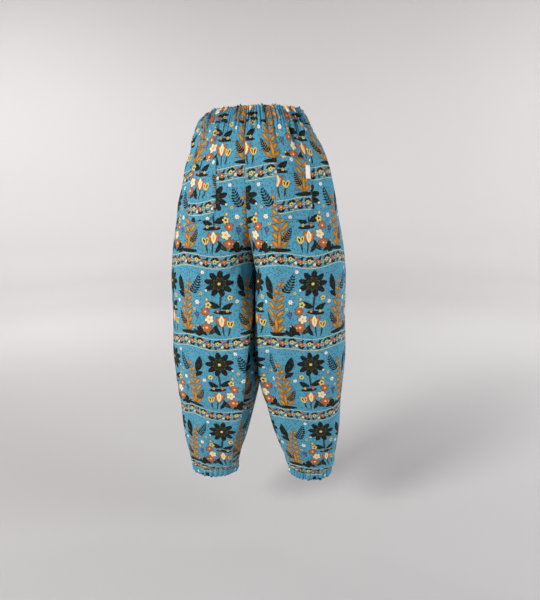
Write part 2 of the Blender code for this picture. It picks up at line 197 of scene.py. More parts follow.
# Folds run from top to bottom. path says where each lies, as a share of the way from the middle seam
# to the side seam, at evenly spaced drops. half_width and height are on the cloth, and a negative
# height is a trough. steep says how much steeper its side towards the middle seam is, and round is 2
# for a soft fold and 1 for a pressed one.
Fold = namedtuple("Fold", "top bottom path half_width height steep round", defaults=(1, 2))
FOLDS = {
    ("left", "back"): (
        # the left leg's long crease, where its back turns into its inner wall, and the hollow behind it
        Fold(0.40, 0.92, (0.02, 0.25, 0.290, 0.295, 0.285, 0.255, 0.240), 0.024, 0.0115, 7, 1.2),
        Fold(0.40, 0.94, (0.00, 0.220, 0.262, 0.268, 0.258, 0.228, 0.211), 0.0100, -0.0230, 0.30),
        # broad swells and hollows, which turn the leg towards the light and away from it
        Fold(0.30, 0.74, (0.45, 0.50, 0.49, 0.47), 0.034, 0.0065),
        Fold(0.40, 0.84, (0.66, 0.70, 0.68, 0.66), 0.036, -0.0060),
        Fold(0.62, 0.91, (0.640, 0.600), 0.026, -0.0050),
        # longer gathers that run down from the waist
        Fold(0.026, 0.150, (0.29, 0.265, 0.250), 0.008, -0.0050),
        Fold(0.026, 0.130, (0.56, 0.540), 0.008, -0.0040),
        Fold(0.026, 0.170, (0.80, 0.770), 0.010, -0.0045),
        # creases that run out and down from the crotch
        Fold(0.23, 0.46, (0.10, 0.190, 0.290), 0.012, -0.0045),
        Fold(0.25, 0.42, (0.18, 0.300, 0.440), 0.010, -0.0030),
        Fold(0.29, 0.45, (0.10, 0.240, 0.350), 0.009, -0.0035),
        # short creases above the hem
        Fold(0.70, 0.91, (0.800, 0.720), 0.014, -0.0035),
        Fold(0.78, 0.91, (0.500, 0.480), 0.011, -0.0030),
        Fold(0.76, 0.90, (0.360, 0.350), 0.010, -0.0026),
    ),
    ("left", "front"): (
        # broad swells and hollows, which turn the leg towards the light and away from it
        Fold(0.34, 0.80, (0.360, 0.400, 0.390), 0.030, -0.0060),
        Fold(0.36, 0.86, (0.660, 0.680, 0.640), 0.034, 0.0055),
        Fold(0.60, 0.91, (0.560, 0.520), 0.026, -0.0045),
        # a hollow that runs down over the hip
        Fold(0.07, 0.27, (0.70, 0.640, 0.600, 0.570), 0.024, -0.0055, 0.7),
        # longer gathers that run down from the waist
        Fold(0.026, 0.160, (0.34, 0.310), 0.009, -0.0050),
        Fold(0.026, 0.130, (0.16, 0.150), 0.008, -0.0040),
        # creases that run out and down from the crotch
        Fold(0.24, 0.44, (0.12, 0.220, 0.330), 0.012, -0.0045),
        Fold(0.28, 0.42, (0.24, 0.400), 0.010, -0.0030),
        # short creases above the hem
        Fold(0.74, 0.91, (0.400, 0.370), 0.012, -0.0032),
        Fold(0.78, 0.91, (0.760, 0.730), 0.011, -0.0026),
    ),
    ("right", "back"): (
        # broad swells and hollows, which turn the leg towards the light and away from it
        Fold(0.37, 0.70, (0.22, 0.250, 0.265, 0.26, 0.24), 0.008, 0.0080, 0.25),
        Fold(0.44, 0.76, (0.315, 0.330, 0.332, 0.325, 0.305), 0.015, -0.0130, 1.2),
        Fold(0.18, 0.66, (0.27, 0.31, 0.375, 0.400, 0.405, 0.40), 0.026, 0.0085, 1.4),
        Fold(0.34, 0.80, (0.54, 0.560, 0.550, 0.53), 0.038, -0.0090),
        Fold(0.40, 0.86, (0.78, 0.800, 0.770), 0.034, 0.0050),
        Fold(0.60, 0.91, (0.640, 0.590), 0.028, -0.0050),
        # the ridge along the pocket's inner edge and the hollow at its outer one
        Fold(0.06, 0.33, (0.33, 0.30, 0.285, 0.280, 0.29), 0.024, 0.0095, 0.8),
        Fold(0.05, 0.29, (0.76, 0.665, 0.625, 0.595, 0.56), 0.024, -0.0110, 0.50),
        # longer gathers that run down from the waist
        Fold(0.026, 0.175, (0.37, 0.345, 0.340), 0.009, -0.0055),
        Fold(0.026, 0.150, (0.50, 0.480), 0.008, -0.0045),
        Fold(0.026, 0.120, (0.18, 0.170), 0.007, -0.0035),
        # creases that run out and down from the crotch
        Fold(0.23, 0.42, (0.08, 0.150, 0.230), 0.011, -0.0042),
        Fold(0.26, 0.40, (0.16, 0.280, 0.450), 0.010, -0.0030),
        # short creases above the hem
        Fold(0.72, 0.91, (0.330, 0.360), 0.012, -0.0034),
        Fold(0.77, 0.91, (0.800, 0.770), 0.011, -0.0028),
        Fold(0.79, 0.90, (0.480, 0.470), 0.010, -0.0026),
    ),
    ("right", "front"): (
        # broad swells and hollows, which turn the leg towards the light and away from it
        Fold(0.38, 0.84, (0.420, 0.400, 0.370), 0.032, -0.0060),
        Fold(0.34, 0.74, (0.690, 0.660, 0.640), 0.034, 0.0055),
        # a hollow that runs down over the hip
        Fold(0.06, 0.25, (0.52, 0.480, 0.450), 0.022, -0.0045),
        # longer gathers that run down from the waist
        Fold(0.026, 0.170, (0.28, 0.260), 0.009, -0.0050),
        Fold(0.026, 0.140, (0.66, 0.640), 0.009, -0.0045),
        # creases that run out and down from the crotch
        Fold(0.25, 0.45, (0.12, 0.200, 0.300), 0.012, -0.0045),
        Fold(0.28, 0.41, (0.26, 0.420), 0.010, -0.0030),
        # short creases above the hem
        Fold(0.73, 0.91, (0.560, 0.580), 0.012, -0.0032),
        Fold(0.78, 0.91, (0.260, 0.290), 0.011, -0.0026),
    ),
}

# Gathers round an edge: how many there are, how high they stand and how far down they reach.
Gathers = namedtuple("Gathers", "seed count height reach")
WAIST_CLOSE = Gathers(3, 120, 0.0058, 0.026)
WAIST_WIDE = Gathers(5, 36, 0.0078, 0.066)
HEM_CLOSE = Gathers(20, 38, 0.0042, 0.017)
WAIST_EASE = 0.40  # how much wider the flat cloth is than the gathered waist
EASED_OUT = 0.150  # drop at which that extra width is gone
GRAIN = 0.107  # how far from the middle plane the panel's straight grain hangs
GRAIN_OUT = 0.030  # how much further out it hangs at the hem, where the leg has moved out
GRAIN_MOVES = (0.60, 0.90)  # drops between which it moves out
WAIST_SWELL = 0.45  # share of the wide gathers' height at the waistband, before they swell below it
FREE_BELOW_WAIST = 0.010  # folds come to nothing this near the waistband
FREE_ABOVE_HEM = 0.018  # and this near the hem casing
SWELL_BELOW = 0.022  # distance below the waistband at which they have swollen fully
HEM_BULGE = 0.0040  # how far the leg blouses out over its hem
BULGE_ABOVE = 0.011  # distance of the bulge's middle above the hem casing
BULGE_REACH = 0.013
HEM_TUCK = 0.0026  # how far the panel's lower edge is drawn in under the hem casing
SLOW_WAVE = 0.0014  # height of the slow unevenness of the whole cloth
SEAM_PULL = 0.0010  # depth of the groove that a sewn seam pulls
SEAM_GROOVE = 0.0030  # how far the groove reaches to each side
SEAM_RIM = 0.0004  # height of the cloth's rise just beyond it
RIM_AWAY = 0.008  # distance of that rise from the seam
RIM_REACH = 0.005
PUCKERS_APART = 0.0115
PUCKERS_FADE = 0.083  # length over which a seam's puckers grow and fade
SEAM_HELD = 0.004  # folds don't move the cloth sideways this near the middle seam
WALL_WAVE = 0.0030  # height of the slow wave that the legs' inner walls share
WALL_NEAR = 0.030  # how far from the middle plane it reaches
WALL_GROWS = 0.345  # drop at which it sets in
WALL_FADES = 0.560  # drop at which it starts to fade


def ease(s):
    s = np.clip(s, 0, 1)
    return s * s * (3 - 2 * s)


def along(table, name, drop):
    """The named column at these drops, as a smooth curve that never overshoots the table's rows."""
    return curve([row.drop for row in table], [getattr(row, name) for row in table], drop)


def curve(places, values, at):
    """A smooth curve through the values that never overshoots them."""
    places, values, at = np.array(places), np.array(values), np.asarray(at, float)
    rise = np.diff(values) / np.diff(places)
    before, after = rise[:-1], rise[1:]
    bends = np.where(before * after > 0, 2 * before * after / (before + after + 1e-12), 0)
    slope = np.concatenate([rise[:1], bends, rise[-1:]])
    spot = np.clip(np.searchsorted(places, at, side="right") - 1, 0, len(places) - 2)
    step = places[spot + 1] - places[spot]
    s = np.clip((at - places[spot]) / step, 0, 1)
    start = (1 + 2 * s) * (1 - s) ** 2 * values[spot] + s * (1 - s) ** 2 * step * slope[spot]
    end = s * s * (3 - 2 * s) * values[spot + 1] - s * s * (1 - s) * step * slope[spot + 1]
    return start + end


def wander(t, seed, knots, span=1.0):
    """A smooth random curve between -1 and 1 that comes round again after the span."""
    values = np.random.RandomState(seed).uniform(-1, 1, knots)
    place = np.asarray(t, float) / span * knots
    knot = np.floor(place).astype(int)
    share = ease(place - knot)
    return values[knot % knots] * (1 - share) + values[(knot + 1) % knots] * share


def gathered(t, away, gathers, span):
    """Height of uneven gathers round an edge, at a distance away from it.

    They are rounded ridges with a sharp valley between each two. Each has its own width, height and
    lean, drifts to one side and runs out at its own length.
    """
    random = np.random.RandomState(gathers.seed)
    widths = random.uniform(0.45, 1.55, gathers.count)
    heights = gathers.height * widths * random.uniform(0.35, 1.0, gathers.count)
    reaches = gathers.reach * random.uniform(0.45, 1.6, gathers.count)
    leans = random.uniform(0.75, 1.3, gathers.count)
    valleys = span * np.concatenate([[0], np.cumsum(widths)]) / widths.sum()
    place = np.mod(t + 0.5 * away * wander(t, gathers.seed + 1, 23, span), span)
    spot = np.clip(np.searchsorted(valleys, place, side="right") - 1, 0, gathers.count - 1)
    share = (place - valleys[spot]) / (valleys[spot + 1] - valleys[spot])
    ridge = heights[spot] * np.sin(np.pi * share ** leans[spot]) * np.exp(-((away / reaches[spot]) ** 2))
    return ridge - 0.4 * gathers.height * np.exp(-((away / gathers.reach) ** 2))


def stride(leg, drop):
    return LEGS[leg] * STRIDE * ease((drop - CROTCH) / (LENGTH - CROTCH))


def half_path(leg, face, drop):
    """Points from the middle seam to the side seam, in the section at each drop: x and y."""
    side = along(SECTIONS, leg + "_side", drop)[..., None]
    reach = along(SECTIONS, face, drop)[..., None]
    inner = along(SECTIONS, leg + "_inner", drop)[..., None]
    fullest = inner + (side - inner) * along(SECTIONS, "fullest", drop)[..., None]
    inside = "front_in" if face == "front" else leg + "_in"
    outside = "front_side" if face == "front" else leg + "_back"
    inside_power = 2 / along(CORNERS, inside, drop)[..., None]
    side_power = 2 / along(CORNERS, outside, drop)[..., None]
    turn = np.linspace(0, np.pi / 2, PATH_STEPS)
    rising, falling = np.sin(turn), np.abs(np.cos(turn))
    # the cloth turns under sharply at the seam, and over a longer and softer curve away from it
    start = SEAT if face == "back" else BELLY
    under = np.clip((drop[..., None] - start) / (CROTCH + TURN_UNDER * rising - start), 0, 1)
    sharp = 1 - np.sqrt(1 - under**2)
    depth = reach * (sharp + (ease(under**TURN_SOFT) - sharp) * np.minimum(1, TURN_SOFT * rising))
    y_in = reach - depth * (1 - rising**inside_power)
    if (leg, face) == ("left", "back"):
        inner = inner + along(CORNERS, "lean", drop)[..., None] * (y_in / reach) ** 2
    x_in = fullest - (fullest - inner) * falling**inside_power
    x_out = fullest + (side - fullest) * rising**side_power
    y_out = reach * falling**side_power
    x = np.concatenate([x_in[..., :-1], x_out], axis=-1)
    y = np.concatenate([y_in[..., :-1], y_out], axis=-1)
    return LEGS[leg] * x, y if face == "front" else -y


def path_lengths(x, y):
    steps = np.hypot(np.diff(x, axis=-1), np.diff(y, axis=-1))
    return np.concatenate([np.zeros(x.shape[:-1] + (1,)), np.cumsum(steps, axis=-1)], axis=-1)


def seam_length(leg, face, drop):
    """Distance on the cloth from the middle seam to the side seam."""
    return path_lengths(*half_path(leg, face, np.asarray(drop, float)))[..., -1]


def round_waist(leg, face, across):
    """Where this lies round the waist: 0 at the middle of the back, 1 at the wearer's right side."""
    quarter = QUARTERS.index((leg, face))
    return quarter + (across if quarter in (0, 2) else 1 - across)


def waist_gathers(leg, face, across, below):
    """Height of the gathers at a distance below the waistband. The wide ones swell below it."""
    t = round_waist(leg, face, across)
    below = np.maximum(below, 0)
    swell = WAIST_SWELL + (1 - WAIST_SWELL) * ease(below / SWELL_BELOW)
    return gathered(t, below, WAIST_CLOSE, 4) + swell * gathered(t, below, WAIST_WIDE, 4)


def round_hem(face, across):
    """Turns round a leg, starting at the inseam and going by the back."""
    return (across if face == "back" else 2 - across) / 2


def hem_gathers(leg, face, across, above):
    """Height of the cloth at a distance above the hem casing: a soft bulge with short puckers."""
    t = round_hem(face, across)
    above = np.maximum(above, 0)
    close = HEM_CLOSE._replace(seed=HEM_CLOSE.seed + LEGS[leg])
    uneven = 1 + 0.3 * wander(t, close.seed + 3, 11)
    bulge = HEM_BULGE * uneven * np.exp(-(((above - BULGE_ABOVE) / BULGE_REACH) ** 2))
    return bulge + gathered(t, above, close, 1)


def seam_dip(distance, drop):
    """A sewn seam pulls the cloth in along a narrow groove, a little unevenly."""
    puckers = np.sin(2 * np.pi * drop / PUCKERS_APART) * np.sin(2 * np.pi * drop / PUCKERS_FADE)
    groove = SEAM_PULL * (1 + 0.35 * puckers) * np.exp(-((distance / SEAM_GROOVE) ** 2))
    return SEAM_RIM * np.exp(-(((distance - RIM_AWAY) / RIM_REACH) ** 2)) - groove


def cloth_height(leg, face, across, drop, width):
    """How far gathers, folds and seams move the cloth out."""
    height = waist_gathers(leg, face, across, drop - BAND)
    height = height + hem_gathers(leg, face, across, HEM_TOP - drop)
    from_side = (1 - across) * width
    free = ease((drop - BAND) / FREE_BELOW_WAIST) * ease((HEM_TOP - drop) / FREE_ABOVE_HEM)
    for fold in FOLDS[leg, face]:
        knots = np.linspace(fold.top, fold.bottom, len(fold.path))
        middle = curve(knots, (1 - np.array(fold.path)) * seam_length(leg, face, knots), drop)
        away = (middle - from_side) / fold.half_width
        away = np.where(away < 0, fold.steep * away, away)
        run = np.clip((drop - fold.top) / (fold.bottom - fold.top), 0, 0.9999)
        ends = np.sin(np.pi * run) ** 0.7
        height = height + free * fold.height * ends * np.exp(-(np.abs(away) ** fold.round))
    seed = 40 + QUARTERS.index((leg, face))
    slow = SLOW_WAVE * (np.sin(np.pi * across) * ease((drop - 0.12) / 0.1))
    height = height + slow * wander(drop + from_side, seed, 13) * wander(from_side / 0.4, seed + 5, 7)
    return height + seam_dip(across * width, drop) + seam_dip((1 - across) * width, drop)


def hang_together(x, y, drop):
    """Moves both legs' inner walls by the same slow wave, so that they lie against each other."""
    near = np.exp(-((x / WALL_NEAR) ** 2))
    near = near * ease((drop - WALL_GROWS) / 0.08) * (1 - ease((drop - WALL_FADES) / 0.10))
    return x + WALL_WAVE * near * np.sin(2 * np.pi * (y / 0.13 + drop / 0.41))


def down(drop):
    """Distance on the cloth below the waistband's upper edge, along the fullest part of the back."""
    drops = np.linspace(0, LENGTH, 400)
    steps = np.hypot(np.diff(drops), np.diff(along(SECTIONS, "back", drops)))
    return np.interp(drop, drops, np.concatenate([[0], np.cumsum(steps)]))


def grain_line(drop):
    """The straight grain hangs level with the leg's middle, which moves out towards the hem."""
    start, end = GRAIN_MOVES
    return GRAIN + GRAIN_OUT * ease((drop - start) / (end - start))


def lay(leg, face, across, drop, out=0.0, flat=False):
    """Points on the cloth, moved out by the last value, and where each lies on the flat cloth."""
    across, drop = np.broadcast_arrays(np.asarray(across, float), np.asarray(drop, float))
    x, y = half_path(leg, face, drop)
    lengths = path_lengths(x, y)
    width = lengths[..., -1]
    wanted = across * width
    spot = np.clip(np.sum(lengths <= wanted[..., None], axis=-1) - 1, 0, lengths.shape[-1] - 2)[..., None]
    here = [np.take_along_axis(part, spot, -1)[..., 0] for part in (x, y, lengths)]
    there = [np.take_along_axis(part, spot + 1, -1)[..., 0] for part in (x, y, lengths)]
    share = (wanted - here[2]) / np.maximum(there[2] - here[2], 1e-9)
    run_x, run_y = there[0] - here[0], there[1] - here[1]
    run = np.maximum(np.hypot(run_x, run_y), 1e-9)
    facing = LEGS[leg] * (1 if face == "back" else -1)
    if not flat:
        out = out + cloth_height(leg, face, across, drop, width)
    # at the middle seam the edges stay where the two legs' cloth meets
    away = 1 - np.exp(-((across * width / SEAM_HELD) ** 2))
    px = here[0] + share * run_x + away * out * facing * run_y / run
    py = here[1] + share * run_y - out * facing * run_x / run + stride(leg, drop)
    px = LEGS[leg] * np.maximum(LEGS[leg] * px, along(SECTIONS, leg + "_inner", drop))
    points = np.stack([hang_together(px, py, drop), py, -drop], axis=-1)

    steps = np.abs(np.diff(x)) + 1e-9
    reached = np.clip((grain_line(drop)[..., None] - np.abs(x[..., :-1])) / steps, 0, 1)
    grain = np.where(drop < SEAT, GRAIN, np.sum(reached * np.diff(lengths), axis=-1))
    fullness = 1 + WAIST_EASE * (1 - ease(drop / EASED_OUT))
    cut = np.stack([facing * (fullness * wanted - grain), -down(drop)], axis=-1)
    return points, cut


def lay_round(quarters, t, drop, out):
    """Points round a closed edge, where t counts the quarters from the first one's middle seam."""
    t, drop, out = np.broadcast_arrays(t, drop, out)
    points = np.zeros(t.shape + (3,))
    for quarter, (leg, face) in enumerate(quarters):
        here = (t >= quarter) & (t <= quarter + 1)
        across = t - quarter if quarter % 2 == 0 else quarter + 1 - t
        points[here] = lay(leg, face, across[here], drop[here], out[here], flat=True)[0]
    return points


# ---------------------------------------------------------------- making pieces


def put(name, data):
    """An object with this mesh, camera or lamp, in the scene."""
    thing = bpy.data.objects.new(name, data)
    bpy.context.scene.collection.objects.link(thing)
    return thing


def corners_of(rows, columns):
    """The four corners of each face of a grid, going round it, as their rows and columns."""
    i, j = np.meshgrid(np.arange(rows - 1), np.arange(columns - 1), indexing="ij")
    return [(i, j), (i + 1, j), (i + 1, j + 1), (i, j + 1)]


def add_cloth(name, points, cut, cloth, flip=False, closed=False, wall=CLOTH):
    """A cloth piece from a grid of points. A closed one's last column lies on its first.

    cloth is the material of its outer side and, if there is one, that of its inner side.
    """
    rows, columns = points.shape[:2]
    made = columns - 1 if closed else columns
    corners = corners_of(rows, columns)
    if flip:
        corners.reverse()
    faces = np.stack([row * made + column % made for row, column in corners], axis=-1)
    mesh = bpy.data.meshes.new(name)
    mesh.from_pydata(points[:, :made].reshape(-1, 3).tolist(), [], faces.reshape(-1, 4).tolist())
    layer = mesh.uv_layers.new(name="cut")
    places = np.stack([cut[row, column] for row, column in corners], axis=2)
    layer.uv.foreach_set("vector", places.astype(np.float32).ravel())
    mesh.shade_smooth()
    piece = put(name, mesh)
    for side in cloth:
        mesh.materials.append(side)
    shell = piece.modifiers.new("cloth", "SOLIDIFY")
    shell.thickness = wall
    shell.offset = -1.0
    shell.material_offset = len(cloth) - 1
    return piece


def dress(piece, node):
    """Hangs the piece from the root body and hides the solid that it stands for."""
    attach(piece, "root")
    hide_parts(node)


def fine_rows():
    """The rows of the cloth, closer together where it is gathered."""
    places = []
    middles = [(row.seam + row.side) / 2 for row in ROWS]
    for top, bottom in zip(middles[:-1], middles[1:]):
        step = FINE_STEP if top < FINE_ABOVE or SPREADS[0] < top < SPREADS[1] else STEP
        places += list(np.linspace(top, bottom, math.ceil((bottom - top) / step) + 1)[:-1])
    places = np.array(places + middles[-1:])
    seams = curve(middles, [row.seam for row in ROWS], places)
    sides = curve(middles, [row.side for row in ROWS], places)
    return seams[:, None], sides[:, None]


def make_panel(leg, face, cloth):
    seams, sides = fine_rows()
    across = np.linspace(0, 1, PANEL_COLUMNS + 1)[None]
    across = across - PANEL_CROWDING * np.sin(2 * np.pi * across) / (2 * np.pi)
    drop = seams + (sides - seams) * ease(across)
    tuck = -HEM_TUCK * np.exp(-(((HEM_TOP - drop) / 0.0022) ** 2))
    points, cut = lay(leg, face, across, drop, tuck)
    name = face + "_" + leg + "_cloth"
    piece = add_cloth(name, points, cut, cloth, flip=(leg == "left") != (face == "front"))
    dress(piece, face + "_" + leg)


# The casings run from their outer seam over the free edge and back down the inside. out is how far
# they stand off the panels' form, share says how much of the gathers reaches each place, frill how
# much of the free edge's waves does, and sewn marks the rows of stitches.
Casing = namedtuple("Casing", "drop out share frill sewn", defaults=(False,))
WAIST_CASING = (
    Casing(0.0372, -0.0011, 1.0, 0.0),
    Casing(0.0350, -0.0003, 1.0, 0.0),
    Casing(0.0320, 0.0001, 1.0, 0.0, sewn=True),
    Casing(0.0220, 0.0011, 1.0, 0.0),
    Casing(0.0120, 0.0013, 1.0, 0.0),
    Casing(0.0072, 0.0006, 0.8, 0.0),
    Casing(0.0060, 0.0001, 0.7, 0.0, sewn=True),
    Casing(0.0048, 0.0005, 0.8, 0.5),
    Casing(0.0020, 0.0008, 0.9, 1.0),
    Casing(0.0002, -0.0003, 0.9, 1.0),
    Casing(0.0006, -0.0014, 0.9, 1.0),
    Casing(0.0050, -0.0022, 0.8, 0.6),
    Casing(0.0110, -0.0040, 0.8, 0.0),
    Casing(0.0300, -0.0042, 0.8, 0.0),
    Casing(0.0345, -0.0030, 0.8, 0.0),
)
HEM_CASING = (
    Casing(HEM_TOP - 0.0008, -0.0012, 0.8, 0.0),
    Casing(HEM_TOP + 0.0010, 0.0006, 1.0, 0.0),
    Casing(HEM_TOP + 0.0024, 0.0010, 1.0, 0.0, sewn=True),
    Casing(HEM_TOP + 0.0045, 0.0016, 1.0, 0.1),
    Casing(HEM_TOP + 0.0110, 0.0019, 1.0, 0.3),
    Casing(HEM_TOP + 0.0170, 0.0013, 1.0, 0.7),
    Casing(HEM_TOP + 0.0196, -0.0004, 0.9, 1.0),
    Casing(HEM_TOP + 0.0190, -0.0018, 0.9, 1.0),
    Casing(HEM_TOP + 0.0120, -0.0032, 0.7, 0.3),
    Casing(HEM_TOP + 0.0040, -0.0030, 0.7, 0.0),
    Casing(HEM_TOP - 0.0004, -0.0022, 0.7, 0.0),
)
CASING_MIDDLE = 3  # the row of each table at which its way round is measured
WAIST_FRILL = 0.0018  # how far the waistband's free edge waves in and out
UNEVEN_WAIST = 0.0007  # how far it goes up and down, besides its rise over each gather
UNEVEN_HEM = 0.0006  # the same for a hem's free edge


def make_casing(name, quarters, table, waves, cloth, flip, cut_from):
    """A folded edge with elastic inside, gathered all round. Gives its piece and its flat cut."""
    places = [(row.drop, row.out) for row in table]
    run = np.concatenate([[0], np.cumsum([math.dist(*pair) for pair in zip(places, places[1:])])])
    down = np.linspace(0, run[-1], CASING_ROWS)[:, None]
    drop, out, share, frill = (curve(run, column, down) for column in list(zip(*table))[:4])
    t, height, rise, wave = waves
    points = lay_round(quarters, t + 0 * drop, drop - rise * frill, out + height * share + wave * frill)
    middle = lay_round(quarters, t, table[CASING_MIDDLE].drop + 0 * t, 0 * t)[0]
    around = path_lengths(middle[:, 0], middle[:, 1])[None] * (1 + CASING_EASE)
    cut = np.stack(np.broadcast_arrays(cut_from[0] + around, cut_from[1] - down), axis=-1)
    return add_cloth(name, points, cut, cloth, closed=True, flip=flip), cut


def waist_waves():
    """Places round the waist, with the gathers' height, the free edge's rise and its wave there."""
    t = np.linspace(0, 4, 4 * CASING_COLUMNS + 1)[None]
    close = gathered(t, 0, WAIST_CLOSE, 4)
    rise = 0.6 * close + UNEVEN_WAIST * wander(t, 11, 131, 4)
    return t, close + WAIST_SWELL * gathered(t, 0, WAIST_WIDE, 4), rise, WAIST_FRILL * wander(t, 10, 97, 4)


def hem_waves(leg):
    """The same round a hem."""
    t = np.linspace(0, 2, 2 * CASING_COLUMNS + 1)[None]
    close = HEM_CLOSE._replace(seed=HEM_CLOSE.seed + LEGS[leg])
    height = gathered(t / 2, 0, close, 1)
    rise = -0.3 * height + UNEVEN_HEM * wander(t / 2, close.seed + 6, 41)
    return t, height, rise, 0 * t


def sew_round(name, quarters, table, waves, thread):
    """Stitches all round a casing, in the sewn rows of its table."""
    t, height = waves[:2]
    lines = []
    for row in table:
        if row.sewn:
            out = row.out + row.share * height
            on, above = (lay_round(quarters, t, row.drop + 0 * t, out + up)[0] for up in (0, MM))
            lines.append(line_of_stitches(on, above))
    sew(name, lines, thread)


def make_waistband(cloth, thread):
    waves = waist_waves()
    piece, cut = make_casing("waist_casing", QUARTERS, WAIST_CASING, waves, cloth, True, WAIST_CUT)
    dress(piece, "waistband")
    sew_round("waist_stitches", QUARTERS, WAIST_CASING, waves, thread)


def make_hem(leg, cloth, thread):
    waves = hem_waves(leg)
    quarters = ((leg, "back"), (leg, "front"))
    name = "hem_casing_" + leg
    piece, cut = make_casing(name, quarters, HEM_CASING, waves, cloth, leg == "left", HEM_CUT)
    dress(piece, "hem_" + leg)
    sew_round("hem_stitches_" + leg, quarters, HEM_CASING, waves, thread)


def on_pocket(leg, share_across, share_down):
    """Across and drop on the back panel at a place on its pocket, as shares of the pocket's size."""
    seam = POCKET_TOP.seam + POCKET_TALL * share_down
    side = POCKET_TOP.side + (POCKET_BOTTOM.side - POCKET_TOP.side) * share_down
    corner = POCKET_CORNER * np.clip((share_down - CORNER_FROM) / (1 - CORNER_FROM), 0, 1) ** 1.6
    width = POCKET_WIDTH - 2 * corner
    from_rise = POCKET_FROM_RISE + corner + share_across * width
    across = from_rise / seam_length(leg, "back", (seam + side) / 2)
    return across, seam + (side - seam) * ease(across)


def pocket_height(share_across, share_down):
    """How far the pocket's face stands off the panel."""
    to_side = np.minimum(share_across, 1 - share_across) * POCKET_WIDTH
    to_edge = np.minimum(to_side, (1 - share_down) * POCKET_TALL)
    from_top = share_down * POCKET_TALL
    turned = TURNING * (1 - ease((to_edge - TURNED_IN) / 0.003))
    turned = turned + TURNING * (1 - ease((from_top - POCKET_HEM) / 0.002))
    pulled = np.exp(-(((to_edge - STITCH_INSET) / STITCH_PULL) ** 2))
    pulled = pulled + np.exp(-(((from_top - POCKET_HEM + STITCH_INSET) / STITCH_PULL) ** 2))
    gape = POCKET_GAPE * np.sin(np.pi * share_across) ** 2 * np.exp(-((from_top / 0.022) ** 2))
    soft = POCKET_SOFT * np.sin(np.pi * share_across) * wander(share_down + 0.4 * share_across, 61, 5)
    rolled = EDGE_ROLL * np.exp(-((to_edge / 0.0008) ** 2))
    return POCKET_OFF + turned - STITCH_DEEP * pulled + gape + soft * ease(from_top / 0.02) - rolled


def make_pocket(leg, cloth):
    share_down = np.linspace(0, 1, POCKET_ROWS)[:, None]
    share_across = np.linspace(0, 1, POCKET_COLUMNS)[None]
    share_across = share_across - POCKET_CROWDING * np.sin(2 * np.pi * share_across) / (2 * np.pi)
    across, drop = on_pocket(leg, share_across, share_down)
    points, cut = lay(leg, "back", across, drop, pocket_height(share_across, share_down))
    cut = cut + np.array(POCKET_CUT[leg])
    piece = add_cloth("pocket_patch_" + leg, points, cut, cloth, flip=leg == "left")
    dress(piece, "pocket_" + leg)


def make_tab(tape):
    """A woven label folded in half, held by its upper end."""
    run = np.linspace(0, 1, TAB_ROWS)[:, None]
    front = run < 0.5
    share = np.where(front, run * 2, 2 - run * 2) ** 0.9
    fold = np.sqrt(np.clip(1 - ((share - 0.5) * 2) ** 8, 0, 1))
    drop = TAB_TOP + TAB_LENGTH * share
    end = POCKET_FROM_RISE + POCKET_WIDTH - TAB_FROM_EDGE
    side = np.linspace(0, 1, TAB_COLUMNS)[None]
    across = (end - TAB_WIDTH * (1 - side)) / seam_length("right", "back", drop)
    gap = np.where(front, 0.00065, -0.00005) * np.minimum(fold + 0.3, 1)
    lift = TAB_LIFT * share**2 + TAB_CURL * np.sin(np.pi * side) * share
    points = lay("right", "back", across, drop, TAB_OFF + gap + lift)[0]
    cut = np.stack(np.broadcast_arrays(side * TAB_WIDTH, run * 2 * TAB_LENGTH), axis=-1)
    piece = add_cloth("pocket_tape", points, cut, tape, wall=TAPE)
    dress(piece, "pocket_tab")


def line_of_stitches(on, above):
    """The points of a line on the cloth, and the way out there from the points just above them."""
    outward = above - on
    return on, outward / np.linalg.norm(outward, axis=-1, keepdims=True)


def stitch_bodies(points, outward):
    """Rings of points round each stitch of a line. Each stitch bows out and dips in at its ends."""
    run = np.concatenate([[0], np.cumsum(np.linalg.norm(np.diff(points, axis=0), axis=1))])
    middles = np.arange(STITCH_PITCH, run[-1] - STITCH_PITCH / 2, STITCH_PITCH)
    along_stitch = np.linspace(-0.5, 0.5, len(STITCH_SHAPE))
    at = middles[:, None] + along_stitch[None] * STITCH_LONG
    centre = np.stack([np.interp(at, run, points[:, k]) for k in range(3)], axis=-1)
    out = np.stack([np.interp(at, run, outward[:, k]) for k in range(3)], axis=-1)
    ahead = np.gradient(centre, axis=1)
    ahead = ahead / np.linalg.norm(ahead, axis=-1, keepdims=True)
    beside = np.cross(ahead, out)
    bow = np.cos(np.pi * along_stitch)[None, :, None]
    centre = centre + out * (STITCH_BOW * bow - STITCH_SUNK) * THREAD_THICK
    radius = THREAD_THICK / 2 * np.array(STITCH_SHAPE)[None, :, None, None]
    turn = np.linspace(0, 2 * np.pi, STITCH_SIDES, endpoint=False)
    ring = np.cos(turn)[:, None] * out[:, :, None] + np.sin(turn)[:, None] * beside[:, :, None]
    return (centre[:, :, None] + radius * ring).reshape(len(middles), -1, 3)


def sew(name, lines, thread):
    """Lines of stitches as one mesh."""
    points = np.concatenate([stitch_bodies(*line) for line in lines])
    rings, sides = len(STITCH_SHAPE), STITCH_SIDES
    tube = []
    for i in range(rings - 1):
        for j in range(sides):
            k = (j + 1) % sides
            tube.append([i * sides + j, i * sides + k, (i + 1) * sides + k, (i + 1) * sides + j])
    caps = [list(range(sides))[::-1], list(range((rings - 1) * sides, rings * sides))]
    starts = np.arange(len(points))[:, None, None] * rings * sides
    faces = [(starts + np.array(group)[None]).reshape(-1, len(group[0])).tolist() for group in (tube, caps)]
    mesh = bpy.data.meshes.new(name)
    mesh.from_pydata(points.reshape(-1, 3).tolist(), [], faces[0] + faces[1])
    mesh.shade_smooth()
    mesh.materials.append(thread)
    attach(put(name, mesh), "root")


